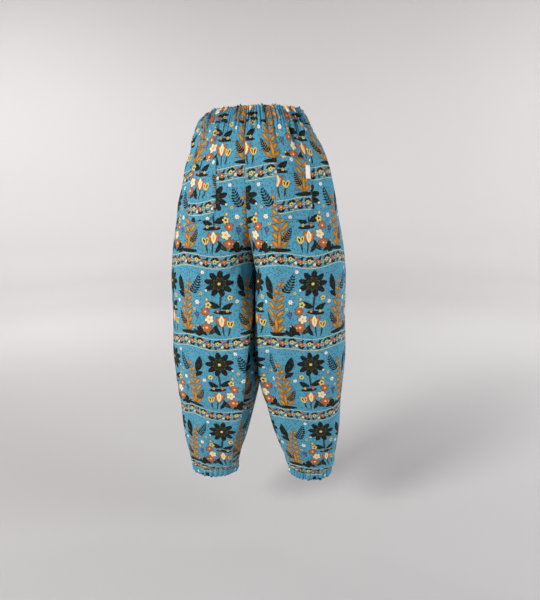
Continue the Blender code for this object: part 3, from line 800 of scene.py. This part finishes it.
def sew_pocket(leg, thread):
    """Stitches along the pocket's three sewn edges, and across its hem."""
    inset = STITCH_INSET / POCKET_WIDTH
    bottom = 1 - STITCH_INSET / POCKET_TALL
    down_side = np.linspace(SEWN_FROM, bottom, LINE_DOWN)
    level = np.linspace(inset, 1 - inset, LINE_ACROSS)
    share_across = np.concatenate([np.full(LINE_DOWN, inset), level, np.full(LINE_DOWN, 1 - inset)])
    share_down = np.concatenate([down_side, np.full(LINE_ACROSS, bottom), down_side[::-1]])
    hem = np.full(LINE_ACROSS, (POCKET_HEM - STITCH_INSET) / POCKET_TALL)
    lines = []
    for shares in ((share_across, share_down), (level, hem)):
        across, drop = on_pocket(leg, *shares)
        height = pocket_height(*shares)
        on, above = (lay(leg, "back", across, drop, height + up)[0] for up in (0, MM))
        lines.append(line_of_stitches(on, above))
    sew("pocket_stitches_" + leg, lines, thread)


# ---------------------------------------------------------------- the print

# The meadow print, in millimetres of cloth. It repeats every REPEAT across and down, and every other
# row is moved over by half a repeat and mirrored. Each mark lies at x and y from the middle of its
# repeat, turned by degrees. A stroke is pointed at both ends and a frond has pairs of leaflets, and
# bend bows them sideways. A disc is oval, and a bloom has as many petals as its bend says.
REPEAT = (150, 190)
PRINT_TOP = 55  # how far the middle of the first row lies above the waistband's edge
Mark = namedtuple("Mark", "form x y long wide turn bend ink")
Ink = namedtuple("Ink", "middle fill edge middle_share edge_share")
INKS = {
    "ochre": Ink("#C98F2E", "#AE7420", "#4A2F10", 0.30, 0.20),
    "leaf": Ink("#262A16", "#10110A", "#10110A", 0.10, 0.05),
    "blade": Ink("#4A5828", "#222A18", "#10110A", 0.16, 0.16),
    "night": Ink("#B0741D", "#10110A", "#10110A", 0.16, 0.05),
    "velvet": Ink("#E0C672", "#1B1C12", "#4E5430", 0.24, 0.09),
    "cream": Ink("#E0AC54", "#E8DAB2", "#6A481E", 0.24, 0.14),
    "rust": Ink("#EAD4A4", "#B95E2B", "#54250F", 0.22, 0.14),
    "straw": Ink("#3A2412", "#DFC36E", "#7A551C", 0.34, 0.14),
    "white": Ink("#D2922F", "#EAE8E0", "#4E6678", 0.28, 0.16),
    "slate": Ink("#7B8AA6", "#4A5878", "#242C40", 0.16, 0.16),
    "dot": Ink("#DDBE6C", "#DDBE6C", "#7A551C", 0.50, 0.30),
}
FIELD = (
    # an ochre frond, with dark leaves and sprigs beside it
    Mark("frond", -40, -4, 124, 44, 82, 0.30, "ochre"),
    Mark("stroke", -42, -48, 46, 10, 92, 0.2, "ochre"),
    Mark("stroke", -58, 42, 44, 19, 108, 0.3, "leaf"),
    Mark("stroke", -57, 18, 26, 12, 148, -0.3, "leaf"),
    Mark("frond", -12, 44, 46, 24, 64, -0.3, "leaf"),
    Mark("frond", -60, -38, 34, 18, 120, 0.3, "leaf"),
    Mark("disc", -42, -71, 50, 9, 3, 0, "leaf"),
    # dark dahlias on a curved stem
    Mark("stroke", 43, 4, 52, 5, 84, 0.9, "blade"),
    Mark("stroke", 27, -5, 32, 14, 152, 0.5, "leaf"),
    Mark("stroke", 58, -9, 29, 13, 26, -0.5, "leaf"),
    Mark("bloom", 40, 43, 66, 58, 4, 9, "night"),
    Mark("bloom", 40, 43, 33, 29, 24, 9, "velvet"),
    Mark("bloom", 64, 11, 15, 14, 30, 5, "straw"),
    Mark("disc", 47, -23, 42, 9, -3, 0, "leaf"),
    Mark("bloom", 36, -19, 9, 9, 0, 5, "rust"),
    Mark("bloom", 57, -19, 8, 8, 20, 5, "straw"),
    # a spire of blossoms
    Mark("stroke", 12, -40, 74, 4, 88, 0.3, "slate"),
    Mark("stroke", -3, -64, 36, 13, 130, 0.6, "leaf"),
    Mark("stroke", 25, -63, 32, 11, 50, -0.6, "blade"),
    Mark("bloom", 9, -57, 27, 26, 10, 5, "rust"),
    Mark("bloom", 16, -38, 25, 23, 40, 5, "cream"),
    Mark("bloom", 7, -20, 21, 21, 75, 5, "rust"),
    Mark("bloom", 14, -5, 17, 17, 5, 5, "straw"),
    Mark("disc", 11, 8, 8, 10, 0, 0, "dot"),
    # tulips
    Mark("stroke", 47, -62, 38, 4, 95, 0.5, "blade"),
    Mark("stroke", 61, -64, 30, 4, 80, -0.5, "blade"),
    Mark("stroke", 34, -66, 28, 10, 118, 0.5, "leaf"),
    Mark("stroke", 38, -44, 28, 15, 112, -0.3, "rust"),
    Mark("stroke", 50, -44, 28, 15, 68, 0.3, "rust"),
    Mark("stroke", 44, -43, 30, 14, 92, 0, "cream"),
    Mark("stroke", 60, -50, 20, 11, 112, -0.3, "straw"),
    Mark("stroke", 66.5, -50, 20, 11, 70, 0.3, "straw"),
    # a low tuft with pale seed heads
    Mark("stroke", -18, -69, 22, 8, 125, 0.4, "leaf"),
    Mark("stroke", -11, -66, 26, 8, 97, 0, "leaf"),
    Mark("stroke", -4, -69, 22, 8, 66, -0.4, "leaf"),
    Mark("disc", -24, -60, 5, 5, 0, 0, "dot"),
    Mark("disc", -12, -53, 5, 5, 0, 0, "dot"),
    Mark("disc", 1, -58, 5, 5, 0, 0, "dot"),
    # small flowers between them
    Mark("bloom", -12, 2, 13, 13, 0, 6, "white"),
    Mark("bloom", -20, -14, 8, 8, 30, 6, "straw"),
    Mark("bloom", -70, 2, 11, 11, 15, 6, "white"),
    Mark("bloom", 3, 70, 10, 10, 0, 6, "white"),
    Mark("bloom", -2, 22, 8, 8, 0, 6, "straw"),
    Mark("bloom", 10, 29, 6, 6, 0, 6, "white"),
    Mark("stroke", -12, -30, 20, 6, 80, 0.4, "slate"),
    Mark("bloom", -14, -26, 13, 12, 20, 5, "slate"),
)
# The garlands run along the edges of the rows. These marks repeat along them every GARLAND_REPEAT.
GARLAND_REPEAT = 42
GARLAND_WAVE = 4.5  # how far a garland's line rises and falls
VINE_SWING = 6.5  # how far each vine swings to both sides of it
GARLAND = (
    Mark("stroke", -14, 7, 13, 6, 35, 0.3, "leaf"),
    Mark("stroke", -5, 8, 12, 6, 140, 0.3, "leaf"),
    Mark("stroke", 7, -7, 13, 6, -30, 0.3, "leaf"),
    Mark("stroke", 14.5, -8, 12, 6, 215, 0.3, "leaf"),
    Mark("stroke", 15, 7, 11, 5, 60, 0.3, "leaf"),
    Mark("stroke", -15, -7, 11, 5, -60, 0.3, "blade"),
    Mark("bloom", -10, 2, 11, 11, 0, 5, "straw"),
    Mark("bloom", 11, 0, 12, 12, 30, 5, "rust"),
    Mark("bloom", 1, -5, 8, 8, 20, 5, "cream"),
    Mark("bloom", 2, 8, 7, 7, 20, 5, "rust"),
    Mark("disc", -19, -3, 4, 4, 0, 0, "dot"),
    Mark("disc", 19, 3, 4, 4, 0, 0, "dot"),
    Mark("disc", -6, -10, 4, 4, 0, 0, "dot"),
)
GARLAND_EDGE = 13.5  # distance from its middle to the pale line on each side
BORDER = "#D2CC88"
BORDER_THICK = 1.1
LIGHT_VINE = "#D9BE6A"
DARK_VINE = "#22301E"
VINE_THICK = 2.0
GROUND = "#4389A4"
WORN = "#579FB8"
TICK = "#23566E"
TICKS_APART = 8.5
TICK_LONG = 4.6
TICK_THICK = 1.5
TICK_BOW = 0.25
WOBBLE = 2.2  # how far the print's edges wander
PETAL_NOTCH = 0.62  # reach of a bloom between two petals
PETAL_SWELL = 0.42  # how much further each petal reaches
LEAFLET_PAIRS = 7


def shade(hex_colour, cover=1):
    """An sRGB hex colour as linear values."""
    parts = [int(hex_colour[i : i + 2], 16) / 255 for i in (1, 3, 5)]
    return [part / 12.92 if part <= 0.04045 else ((part + 0.055) / 1.055) ** 2.4 for part in parts] + [cover]


def add(tree, kind, *inputs, out=0, **settings):
    """Adds a node with its settings and links, and gives one of its outputs.

    The inputs are values or other nodes' outputs, in order, or one dict of them by name or number.
    """
    made = tree.nodes.new("ShaderNode" + kind)
    for name, value in settings.items():
        setattr(made, name, value)
    named = inputs[0] if inputs and isinstance(inputs[0], dict) else dict(enumerate(inputs))
    for place, value in named.items():
        if isinstance(value, bpy.types.NodeSocket):
            tree.links.new(value, made.inputs[place])
        else:
            made.inputs[place].default_value = value
    return made.outputs[out]


def new_group(name, takes, gives):
    """An empty node group and its inputs. takes and gives name each socket's kind."""
    tree = bpy.data.node_groups.new(name, "ShaderNodeTree")
    for way, sockets in (("INPUT", takes), ("OUTPUT", gives)):
        for label, kind in sockets.items():
            tree.interface.new_socket(label, in_out=way, socket_type="NodeSocket" + kind)
    return tree, tree.nodes.new("NodeGroupInput").outputs


def make_form(form):
    """Measures how far a place lies out from a mark's middle line: 1 is the mark's edge."""
    takes = {"place": "Vector", "middle": "Vector", "ahead": "Vector", "aside": "Vector", "bend": "Float"}
    tree, given = new_group(form, takes, {"outness": "Float"})
    local = add(tree, "VectorMath", given["place"], given["middle"], operation="SUBTRACT")
    x = add(tree, "VectorMath", local, given["ahead"], out="Value", operation="DOT_PRODUCT")
    y = add(tree, "VectorMath", local, given["aside"], out="Value", operation="DOT_PRODUCT")
    square = add(tree, "Math", x, x, operation="MULTIPLY")
    if form in ("stroke", "frond"):
        bowed = add(tree, "Math", square, given["bend"], y, operation="MULTIPLY_ADD")
        level = add(tree, "Math", given["bend"], -1 / 3, bowed, operation="MULTIPLY_ADD")
        y = add(tree, "Math", level, operation="ABSOLUTE")
    if form == "stroke":
        outness = add(tree, "Math", y, square, operation="ADD")
    if form == "frond":
        outness = leaflets(tree, x, y)
    if form in ("disc", "bloom"):
        outness = add(tree, "Math", y, y, square, operation="MULTIPLY_ADD")
        outness = add(tree, "Math", outness, operation="SQRT")
    if form == "bloom":
        # the edge swings in and out once for each petal
        petal = add(tree, "Math", y, x, operation="ARCTAN2")
        petal = add(tree, "Math", petal, given["bend"], operation="MULTIPLY")
        petal = add(tree, "Math", petal, 0.5, operation="MULTIPLY")
        petal = add(tree, "Math", petal, operation="COSINE")
        petal = add(tree, "Math", petal, operation="ABSOLUTE")
        reach = add(tree, "Math", petal, PETAL_SWELL, PETAL_NOTCH, operation="MULTIPLY_ADD")
        outness = add(tree, "Math", outness, reach, operation="DIVIDE")
    tree.links.new(outness, tree.nodes.new("NodeGroupOutput").inputs[0])
    return tree


def leaflets(tree, x, y):
    """The outness of a stem with pairs of leaflets, which grow shorter towards its tip."""
    share = add(tree, "Math", x, 0.5, 0.5, operation="MULTIPLY_ADD")
    shorter = add(tree, "Math", share, 2.5, operation="POWER")
    taper = add(tree, "Math", shorter, -0.85, 1.0, operation="MULTIPLY_ADD")
    reached = add(tree, "Math", y, taper, operation="DIVIDE")
    swept = add(tree, "Math", y, -0.30, x, operation="MULTIPLY_ADD")
    pairs = add(tree, "Math", swept, LEAFLET_PAIRS / 2, operation="MULTIPLY")
    pairs = add(tree, "Math", pairs, operation="FRACT")
    beside = add(tree, "Math", pairs, 2.4, -1.2, operation="MULTIPLY_ADD")
    beside = add(tree, "Math", beside, operation="ABSOLUTE")
    along_leaf = add(tree, "Math", reached, 2.0, -1.0, operation="MULTIPLY_ADD")
    along_leaf = add(tree, "Math", along_leaf, along_leaf, operation="MULTIPLY")
    leaf = add(tree, "Math", beside, along_leaf, operation="ADD")
    stem = add(tree, "Math", y, 9.0, operation="MULTIPLY")
    stem = add(tree, "Math", stem, share, operation="ADD")
    either = add(tree, "Math", leaf, stem, operation="MINIMUM")
    end = add(tree, "Math", x, operation="ABSOLUTE")
    end = add(tree, "Math", end, 14.0, operation="POWER")
    return add(tree, "Math", either, end, operation="MAXIMUM")


def make_ink(name):
    """Prints a mark over the colour so far, with a darker line round it."""
    ink = INKS[name]
    tree, given = new_group(name, {"outness": "Float", "under": "Color"}, {"colour": "Color"})
    ramp = add(tree, "ValToRGB", given["outness"]).node
    ramp.color_ramp.interpolation = "CONSTANT"
    edge = 1 - ink.edge_share
    stops = ((0, ink.middle, 1), (ink.middle_share, ink.fill, 1), (edge, ink.edge, 1), (1, ink.edge, 0))
    for number, (at, hue, cover) in enumerate(stops):
        stop = ramp.color_ramp.elements[number] if number < 2 else ramp.color_ramp.elements.new(at)
        stop.position = at
        stop.color = shade(hue, cover)
    inked = {0: ramp.outputs["Alpha"], 6: given["under"], 7: ramp.outputs["Color"]}
    printed = add(tree, "Mix", inked, out=2, data_type="RGBA")
    tree.links.new(printed, tree.nodes.new("NodeGroupOutput").inputs[0])
    return tree


def print_marks(tree, place, marks, colour):
    for mark in marks:
        form = bpy.data.node_groups.get(mark.form) or make_form(mark.form)
        ink = bpy.data.node_groups.get(mark.ink) or make_ink(mark.ink)
        cos, sin = math.cos(math.radians(mark.turn)), math.sin(math.radians(mark.turn))
        ahead = (2 * cos / mark.long, 2 * sin / mark.long, 0)
        aside = (-2 * sin / mark.wide, 2 * cos / mark.wide, 0)
        outness = add(tree, "Group", place, (mark.x, mark.y, 0), ahead, aside, mark.bend, node_tree=form)
        colour = add(tree, "Group", outness, colour, node_tree=ink)
    return colour


def print_ground(tree, place):
    """Uneven teal, with short dark ticks that lie every way."""
    cloud = add(tree, "TexNoise", {"Vector": place, "Scale": 0.045, "Detail": 3.0})
    ground = add(tree, "Mix", {0: cloud, 6: shade(GROUND), 7: shade(WORN)}, out=2, data_type="RGBA")
    # each cell of the cloth has one tick at its middle, turned by a random share of a turn
    cell = add(tree, "TexVoronoi", {"Vector": place, "Scale": 1 / TICKS_APART}).node.outputs
    pick = add(tree, "SeparateColor", cell["Color"])
    turn = add(tree, "Math", pick, 2 * math.pi, operation="MULTIPLY")
    cos = add(tree, "Math", turn, operation="COSINE")
    sin = add(tree, "Math", turn, operation="SINE")
    local = add(tree, "VectorMath", place, cell["Position"], operation="SUBTRACT")
    x = add(tree, "VectorMath", local, (1, 0, 0), out="Value", operation="DOT_PRODUCT")
    y = add(tree, "VectorMath", local, (0, 1, 0), out="Value", operation="DOT_PRODUCT")
    ahead = add(tree, "Math", y, sin, operation="MULTIPLY")
    ahead = add(tree, "Math", x, cos, ahead, operation="MULTIPLY_ADD")
    across = add(tree, "Math", y, cos, operation="MULTIPLY")
    along_y = add(tree, "Math", x, sin, operation="MULTIPLY")
    aside = add(tree, "Math", across, along_y, operation="SUBTRACT")
    # a tick bows like a small arch
    bow = add(tree, "Math", ahead, ahead, operation="MULTIPLY")
    rise = add(tree, "Math", bow, TICK_BOW, aside, operation="MULTIPLY_ADD")
    thick = add(tree, "Math", rise, 0.0, TICK_THICK / 2, operation="COMPARE")
    long = add(tree, "Math", ahead, 0.0, TICK_LONG / 2, operation="COMPARE")
    tick = add(tree, "Math", thick, long, operation="MULTIPLY")
    return add(tree, "Mix", {0: tick, 6: ground, 7: shade(TICK)}, out=2, data_type="RGBA")


def in_repeat(tree, place, wide, tall):
    """The place from the middle of its own repeat."""
    highest, lowest = (wide / 2, tall / 2, 1), (-wide / 2, -tall / 2, -1)
    return add(tree, "VectorMath", place, highest, lowest, operation="WRAP")


def wave(tree, x, length):
    """A wave between -1 and 1 along x."""
    turn = add(tree, "Math", x, 2 * math.pi / length, operation="MULTIPLY")
    return add(tree, "Math", turn, operation="SINE")


def make_print():
    """The whole print as a node group, which gives the colour at a place in millimetres of cloth."""
    wide, tall = REPEAT
    tree, given = new_group("meadow print", {"place": "Vector"}, {"colour": "Color"})
    # a small wobble, so that the edges look inked by hand
    noise = {"Vector": given["place"], "Scale": 0.22, "Detail": 1.0}
    wobble = add(tree, "TexNoise", noise, out=1)
    wobble = add(tree, "VectorMath", wobble, (0.5, 0.5, 0.5), operation="SUBTRACT")
    place = add(tree, "VectorMath", wobble, (WOBBLE, WOBBLE, 0), given["place"], operation="MULTIPLY_ADD")
    colour = print_ground(tree, given["place"])

    # every other row is mirrored and moved over by half a repeat
    x, y = add(tree, "SeparateXYZ", place).node.outputs[:2]
    row = add(tree, "Math", y, 1 / tall, 0.5, operation="MULTIPLY_ADD")
    row = add(tree, "Math", row, operation="FLOOR")
    slide = add(tree, "Math", row, wide / 2, operation="MULTIPLY")
    slide = add(tree, "CombineXYZ", slide)
    slid = add(tree, "VectorMath", place, slide, operation="ADD")
    cell = in_repeat(tree, slid, wide, tall)
    odd = add(tree, "Math", row, 2.0, 0.0, operation="WRAP")
    mirror = add(tree, "Math", odd, -2.0, 1.0, operation="MULTIPLY_ADD")
    mirror = add(tree, "CombineXYZ", mirror, 1.0, 1.0)
    cell = add(tree, "VectorMath", cell, mirror, operation="MULTIPLY")
    colour = print_marks(tree, cell, FIELD, colour)

    # the garland, on a line that waves up and down, with two vines wound round it
    level = add(tree, "Math", y, tall / 2, operation="ADD")
    level = add(tree, "Math", wave(tree, x, wide), GARLAND_WAVE, level, operation="MULTIPLY_ADD")
    line = in_repeat(tree, add(tree, "CombineXYZ", x, level), GARLAND_REPEAT, tall)
    x, y = add(tree, "SeparateXYZ", line).node.outputs[:2]
    swing = wave(tree, x, GARLAND_REPEAT)
    for side, ink in ((1, LIGHT_VINE), (-1, DARK_VINE)):
        off = add(tree, "Math", swing, VINE_SWING * side, y, operation="MULTIPLY_ADD")
        vine = add(tree, "Math", off, 0.0, VINE_THICK / 2, operation="COMPARE")
        colour = add(tree, "Mix", {0: vine, 6: colour, 7: shade(ink)}, out=2, data_type="RGBA")
    from_middle = add(tree, "Math", y, operation="ABSOLUTE")
    border = add(tree, "Math", from_middle, GARLAND_EDGE, BORDER_THICK / 2, operation="COMPARE")
    colour = add(tree, "Mix", {0: border, 6: colour, 7: shade(BORDER)}, out=2, data_type="RGBA")
    colour = print_marks(tree, line, GARLAND, colour)
    tree.links.new(colour, tree.nodes.new("NodeGroupOutput").inputs[0])
    return tree


# ---------------------------------------------------------------- materials


def new_material(name, roughness, IOR):
    """An empty material: its node tree and its shader."""
    material = bpy.data.materials.new(name)
    material.use_nodes = True
    shader = material.node_tree.nodes["Principled BSDF"]
    shader.inputs["Roughness"].default_value = roughness
    shader.inputs["IOR"].default_value = IOR
    return material.node_tree, shader


def on_cut(tree, start):
    """The place on the flat cloth, in millimetres from the start."""
    flat = add(tree, "UVMap", uv_map="cut")
    return add(tree, "VectorMath", flat, (1 / MM, 1 / MM, 0), start, operation="MULTIPLY_ADD")


def wave_scale(apart):
    """The wave texture's scale at which its bands lie this far apart."""
    return 2 * math.pi / 20 / apart


def weave(tree, shader, place, apart, height, strength):
    """Raises a plain weave of threads. Its spacing and height are in millimetres."""
    threads = []
    for direction in ("X", "Y"):
        waves = {"Vector": place, "Scale": wave_scale(apart), "Distortion": 0.6}
        threads.append(add(tree, "TexWave", waves, out=1, bands_direction=direction))
    woven = add(tree, "Math", *threads, operation="ADD")
    raised = add(tree, "Bump", {"Height": woven, "Strength": strength, "Distance": height * MM})
    tree.links.new(raised, shader.inputs["Normal"])


def mottle(tree, shader, place, scale, detail, one, other):
    """Colours the surface softly unevenly, between two hex colours."""
    cloud = add(tree, "TexNoise", {"Vector": place, "Scale": scale, "Detail": detail})
    colour = add(tree, "Mix", {0: cloud, 6: shade(one), 7: shade(other)}, out=2, data_type="RGBA")
    tree.links.new(colour, shader.inputs["Base Color"])


def cotton(name, printing, fade):
    """Cotton poplin, plain woven and screen printed. The eye sees a crisp, matt cloth with a faint weave,
    a few thick threads and ink that sinks in unevenly. On its wrong side the print shows through paler."""
    tree, shader = new_material(name, roughness=0.82, IOR=1.45)
    shader.inputs["Specular IOR Level"].default_value = 0.15
    shader.inputs["Sheen Weight"].default_value = 0.03
    shader.inputs["Sheen Roughness"].default_value = 0.45
    place = on_cut(tree, (0, PRINT_TOP, 0))
    colour = add(tree, "Group", place, node_tree=printing)
    if fade:
        colour = add(tree, "Mix", {0: fade, 6: colour, 7: shade("#9CC0CB")}, out=2, data_type="RGBA")
    # thick threads run along and across, a few in each 100 mm
    for stretch in ((0.03, 1.4, 1), (1.4, 0.03, 1)):
        stretched = add(tree, "VectorMath", place, stretch, operation="MULTIPLY")
        thread = add(tree, "TexNoise", {"Vector": stretched, "Detail": 0.0})
        thick = add(tree, "MapRange", thread, 0.66, 0.80, 0.0, 0.16)
        colour = add(tree, "Mix", {0: thick, 6: colour, 7: shade("#C4D6D8")}, out=2, data_type="RGBA")
    tree.links.new(colour, shader.inputs["Base Color"])
    weave(tree, shader, place, apart=0.9, height=0.08, strength=0.3)  # 0.35 mm apart, drawn wider to show
    return bpy.data.materials[name]


def woven_tape(name):
    """Bleached polyester satin tape. The eye sees a clean white with fine ribs and a slight gloss."""
    tree, shader = new_material(name, roughness=0.48, IOR=1.5)
    place = on_cut(tree, (0, 0, 0))
    mottle(tree, shader, place, 0.25, 2.0, "#F8F7F3", "#ECEBE6")
    weave(tree, shader, place, apart=0.7, height=0.07, strength=0.4)  # 0.25 mm apart, drawn wider to show
    return bpy.data.materials[name]


def sewing_thread(name):
    """Spun polyester thread, dyed to the cloth. The eye sees small raised stitches with a soft gloss."""
    tree, shader = new_material(name, roughness=0.5, IOR=1.5)
    place = add(tree, "TexCoord", out="Object")
    mottle(tree, shader, place, 160.0, 1.0, "#3F7E95", "#69A7BB")
    # two plies twisted together, a turn in each 0.5 mm
    in_mm = add(tree, "VectorMath", place, (1 / MM, 1 / MM, 1 / MM), operation="MULTIPLY")
    twist = {"Vector": in_mm, "Scale": wave_scale(0.5)}
    plies = add(tree, "TexWave", twist, out=1, bands_direction="DIAGONAL")
    raised = add(tree, "Bump", {"Height": plies, "Strength": 0.4, "Distance": 0.05 * MM})
    tree.links.new(raised, shader.inputs["Normal"])
    return bpy.data.materials[name]


def painted_backdrop(name):
    """Matt emulsion on a seamless backdrop, rolled on: an even, pale grey with no gloss."""
    tree, shader = new_material(name, roughness=0.9, IOR=1.5)
    mottle(tree, shader, add(tree, "TexCoord", out="Object"), 0.6, 2.0, "#CDCBCB", "#D1CFCF")
    return bpy.data.materials[name]


# ---------------------------------------------------------------- camera, light and floor

CAMERA_ROUND = math.radians(9.5)  # how far the camera stands round from behind, to the wearer's right
CAMERA_DOWN = math.radians(11.2)  # how far it looks down
CAMERA_ROLL = 0.0205
CAMERA_AWAY = 1.13
CAMERA_BESIDE = 0.032
CAMERA_HEIGHT = -0.225
LENS = 27.18
SENSOR = 36
SHIFT = -1 / 300
FLOOR = -1.10
WALL = 5.0  # radius of the round backdrop
# The backdrop's floor curves up into its wall. Each point is its distance out and its height.
BACKDROP = ((0.0, 0.0), (2.0, 0.0), (3.6, 0.0), (4.4, 0.12), (4.85, 0.5), (WALL, 1.2), (WALL, 9.0))
Lamp = namedtuple("Lamp", "name place aim size power colour")
LAMPS = (
    Lamp("key", (-2.3, -2.6, 1.0), (0, 0, -0.40), 1.2, 125, (1.0, 0.99, 0.97)),
    Lamp("fill", (3.0, -0.5, 0.3), (0, 0, -0.5), 1.6, 53, (0.95, 0.97, 1.0)),
    Lamp("backdrop", (-2.4, 1.6, 1.2), (-1.0, 5.0, -0.6), 2.4, 58, (1.0, 0.99, 0.99)),
    Lamp("backdrop", (2.4, 1.6, 1.2), (1.0, 5.0, -0.6), 2.4, 58, (1.0, 0.99, 0.99)),
)


def look():
    """The camera stands behind the wearer, a little to the right, and looks slightly down."""
    back = np.array([math.sin(CAMERA_ROUND), -math.cos(CAMERA_ROUND), 0])
    right = np.array([math.cos(CAMERA_ROUND), math.sin(CAMERA_ROUND), 0])
    ahead = -back * math.cos(CAMERA_DOWN) - np.array([0, 0, math.sin(CAMERA_DOWN)])
    up = np.cross(right, ahead)
    tilted_up = up * math.cos(CAMERA_ROLL) + right * math.sin(CAMERA_ROLL)
    tilted_right = right * math.cos(CAMERA_ROLL) - up * math.sin(CAMERA_ROLL)
    data = bpy.data.cameras.new("camera")
    data.sensor_width = SENSOR
    data.lens = LENS
    data.shift_x = SHIFT
    camera = put("camera", data)
    turn = Matrix([list(row) for row in np.stack([tilted_right, tilted_up, -ahead], axis=1)])
    place = back * CAMERA_AWAY + right * CAMERA_BESIDE + np.array([0, 0, CAMERA_HEIGHT])
    camera.matrix_world = Matrix.Translation(place) @ turn.to_4x4()
    bpy.context.scene.camera = camera


def light(lamp):
    data = bpy.data.lights.new(lamp.name, "AREA")
    data.shape = "DISK"
    data.size = lamp.size
    data.energy = lamp.power
    data.color = lamp.colour
    made = put(lamp.name, data)
    made.location = lamp.place
    made.rotation_euler = (Vector(lamp.aim) - Vector(lamp.place)).to_track_quat("-Z", "Y").to_euler()


def studio():
    """A round, seamless backdrop, the lamps and a faint even light from all round."""
    world = bpy.data.worlds.new("studio")
    bpy.context.scene.world = world
    world.use_nodes = True
    world.node_tree.nodes["Background"].inputs["Color"].default_value = shade("#F1EFF0")
    world.node_tree.nodes["Background"].inputs["Strength"].default_value = 0.13
    turns = np.linspace(0, 2 * np.pi, 97)[None]
    out, rise = (np.array(column)[:, None] for column in zip(*BACKDROP))
    points = np.stack([out * np.cos(turns), out * np.sin(turns), FLOOR + rise + 0 * turns], axis=-1)
    rows, columns = points.shape[:2]
    faces = [row * columns + column for row, column in corners_of(rows, columns)[::-1]]
    mesh = bpy.data.meshes.new("studio_floor")
    mesh.from_pydata(points.reshape(-1, 3).tolist(), [], np.stack(faces, axis=-1).reshape(-1, 4).tolist())
    mesh.shade_smooth()
    mesh.materials.append(painted_backdrop("matt_painted_backdrop"))
    put("studio_floor", mesh)
    for lamp in LAMPS:
        light(lamp)
    bpy.context.scene.view_settings.view_transform = "Standard"


def main():
    printing = make_print()
    outside = cotton("printed_cotton_poplin", printing, 0.0)
    inside = cotton("printed_cotton_wrong_side", printing, 0.55)
    cloth = (outside, inside)
    tape = (woven_tape("white_satin_tape"),)
    thread = sewing_thread("spun_polyester_thread")
    for leg in LEGS:
        for face in ("back", "front"):
            make_panel(leg, face, cloth)
        make_hem(leg, cloth, thread)
        make_pocket(leg, cloth)
        sew_pocket(leg, thread)
    make_waistband(cloth, thread)
    make_tab(tape)
    look()
    studio()


main()
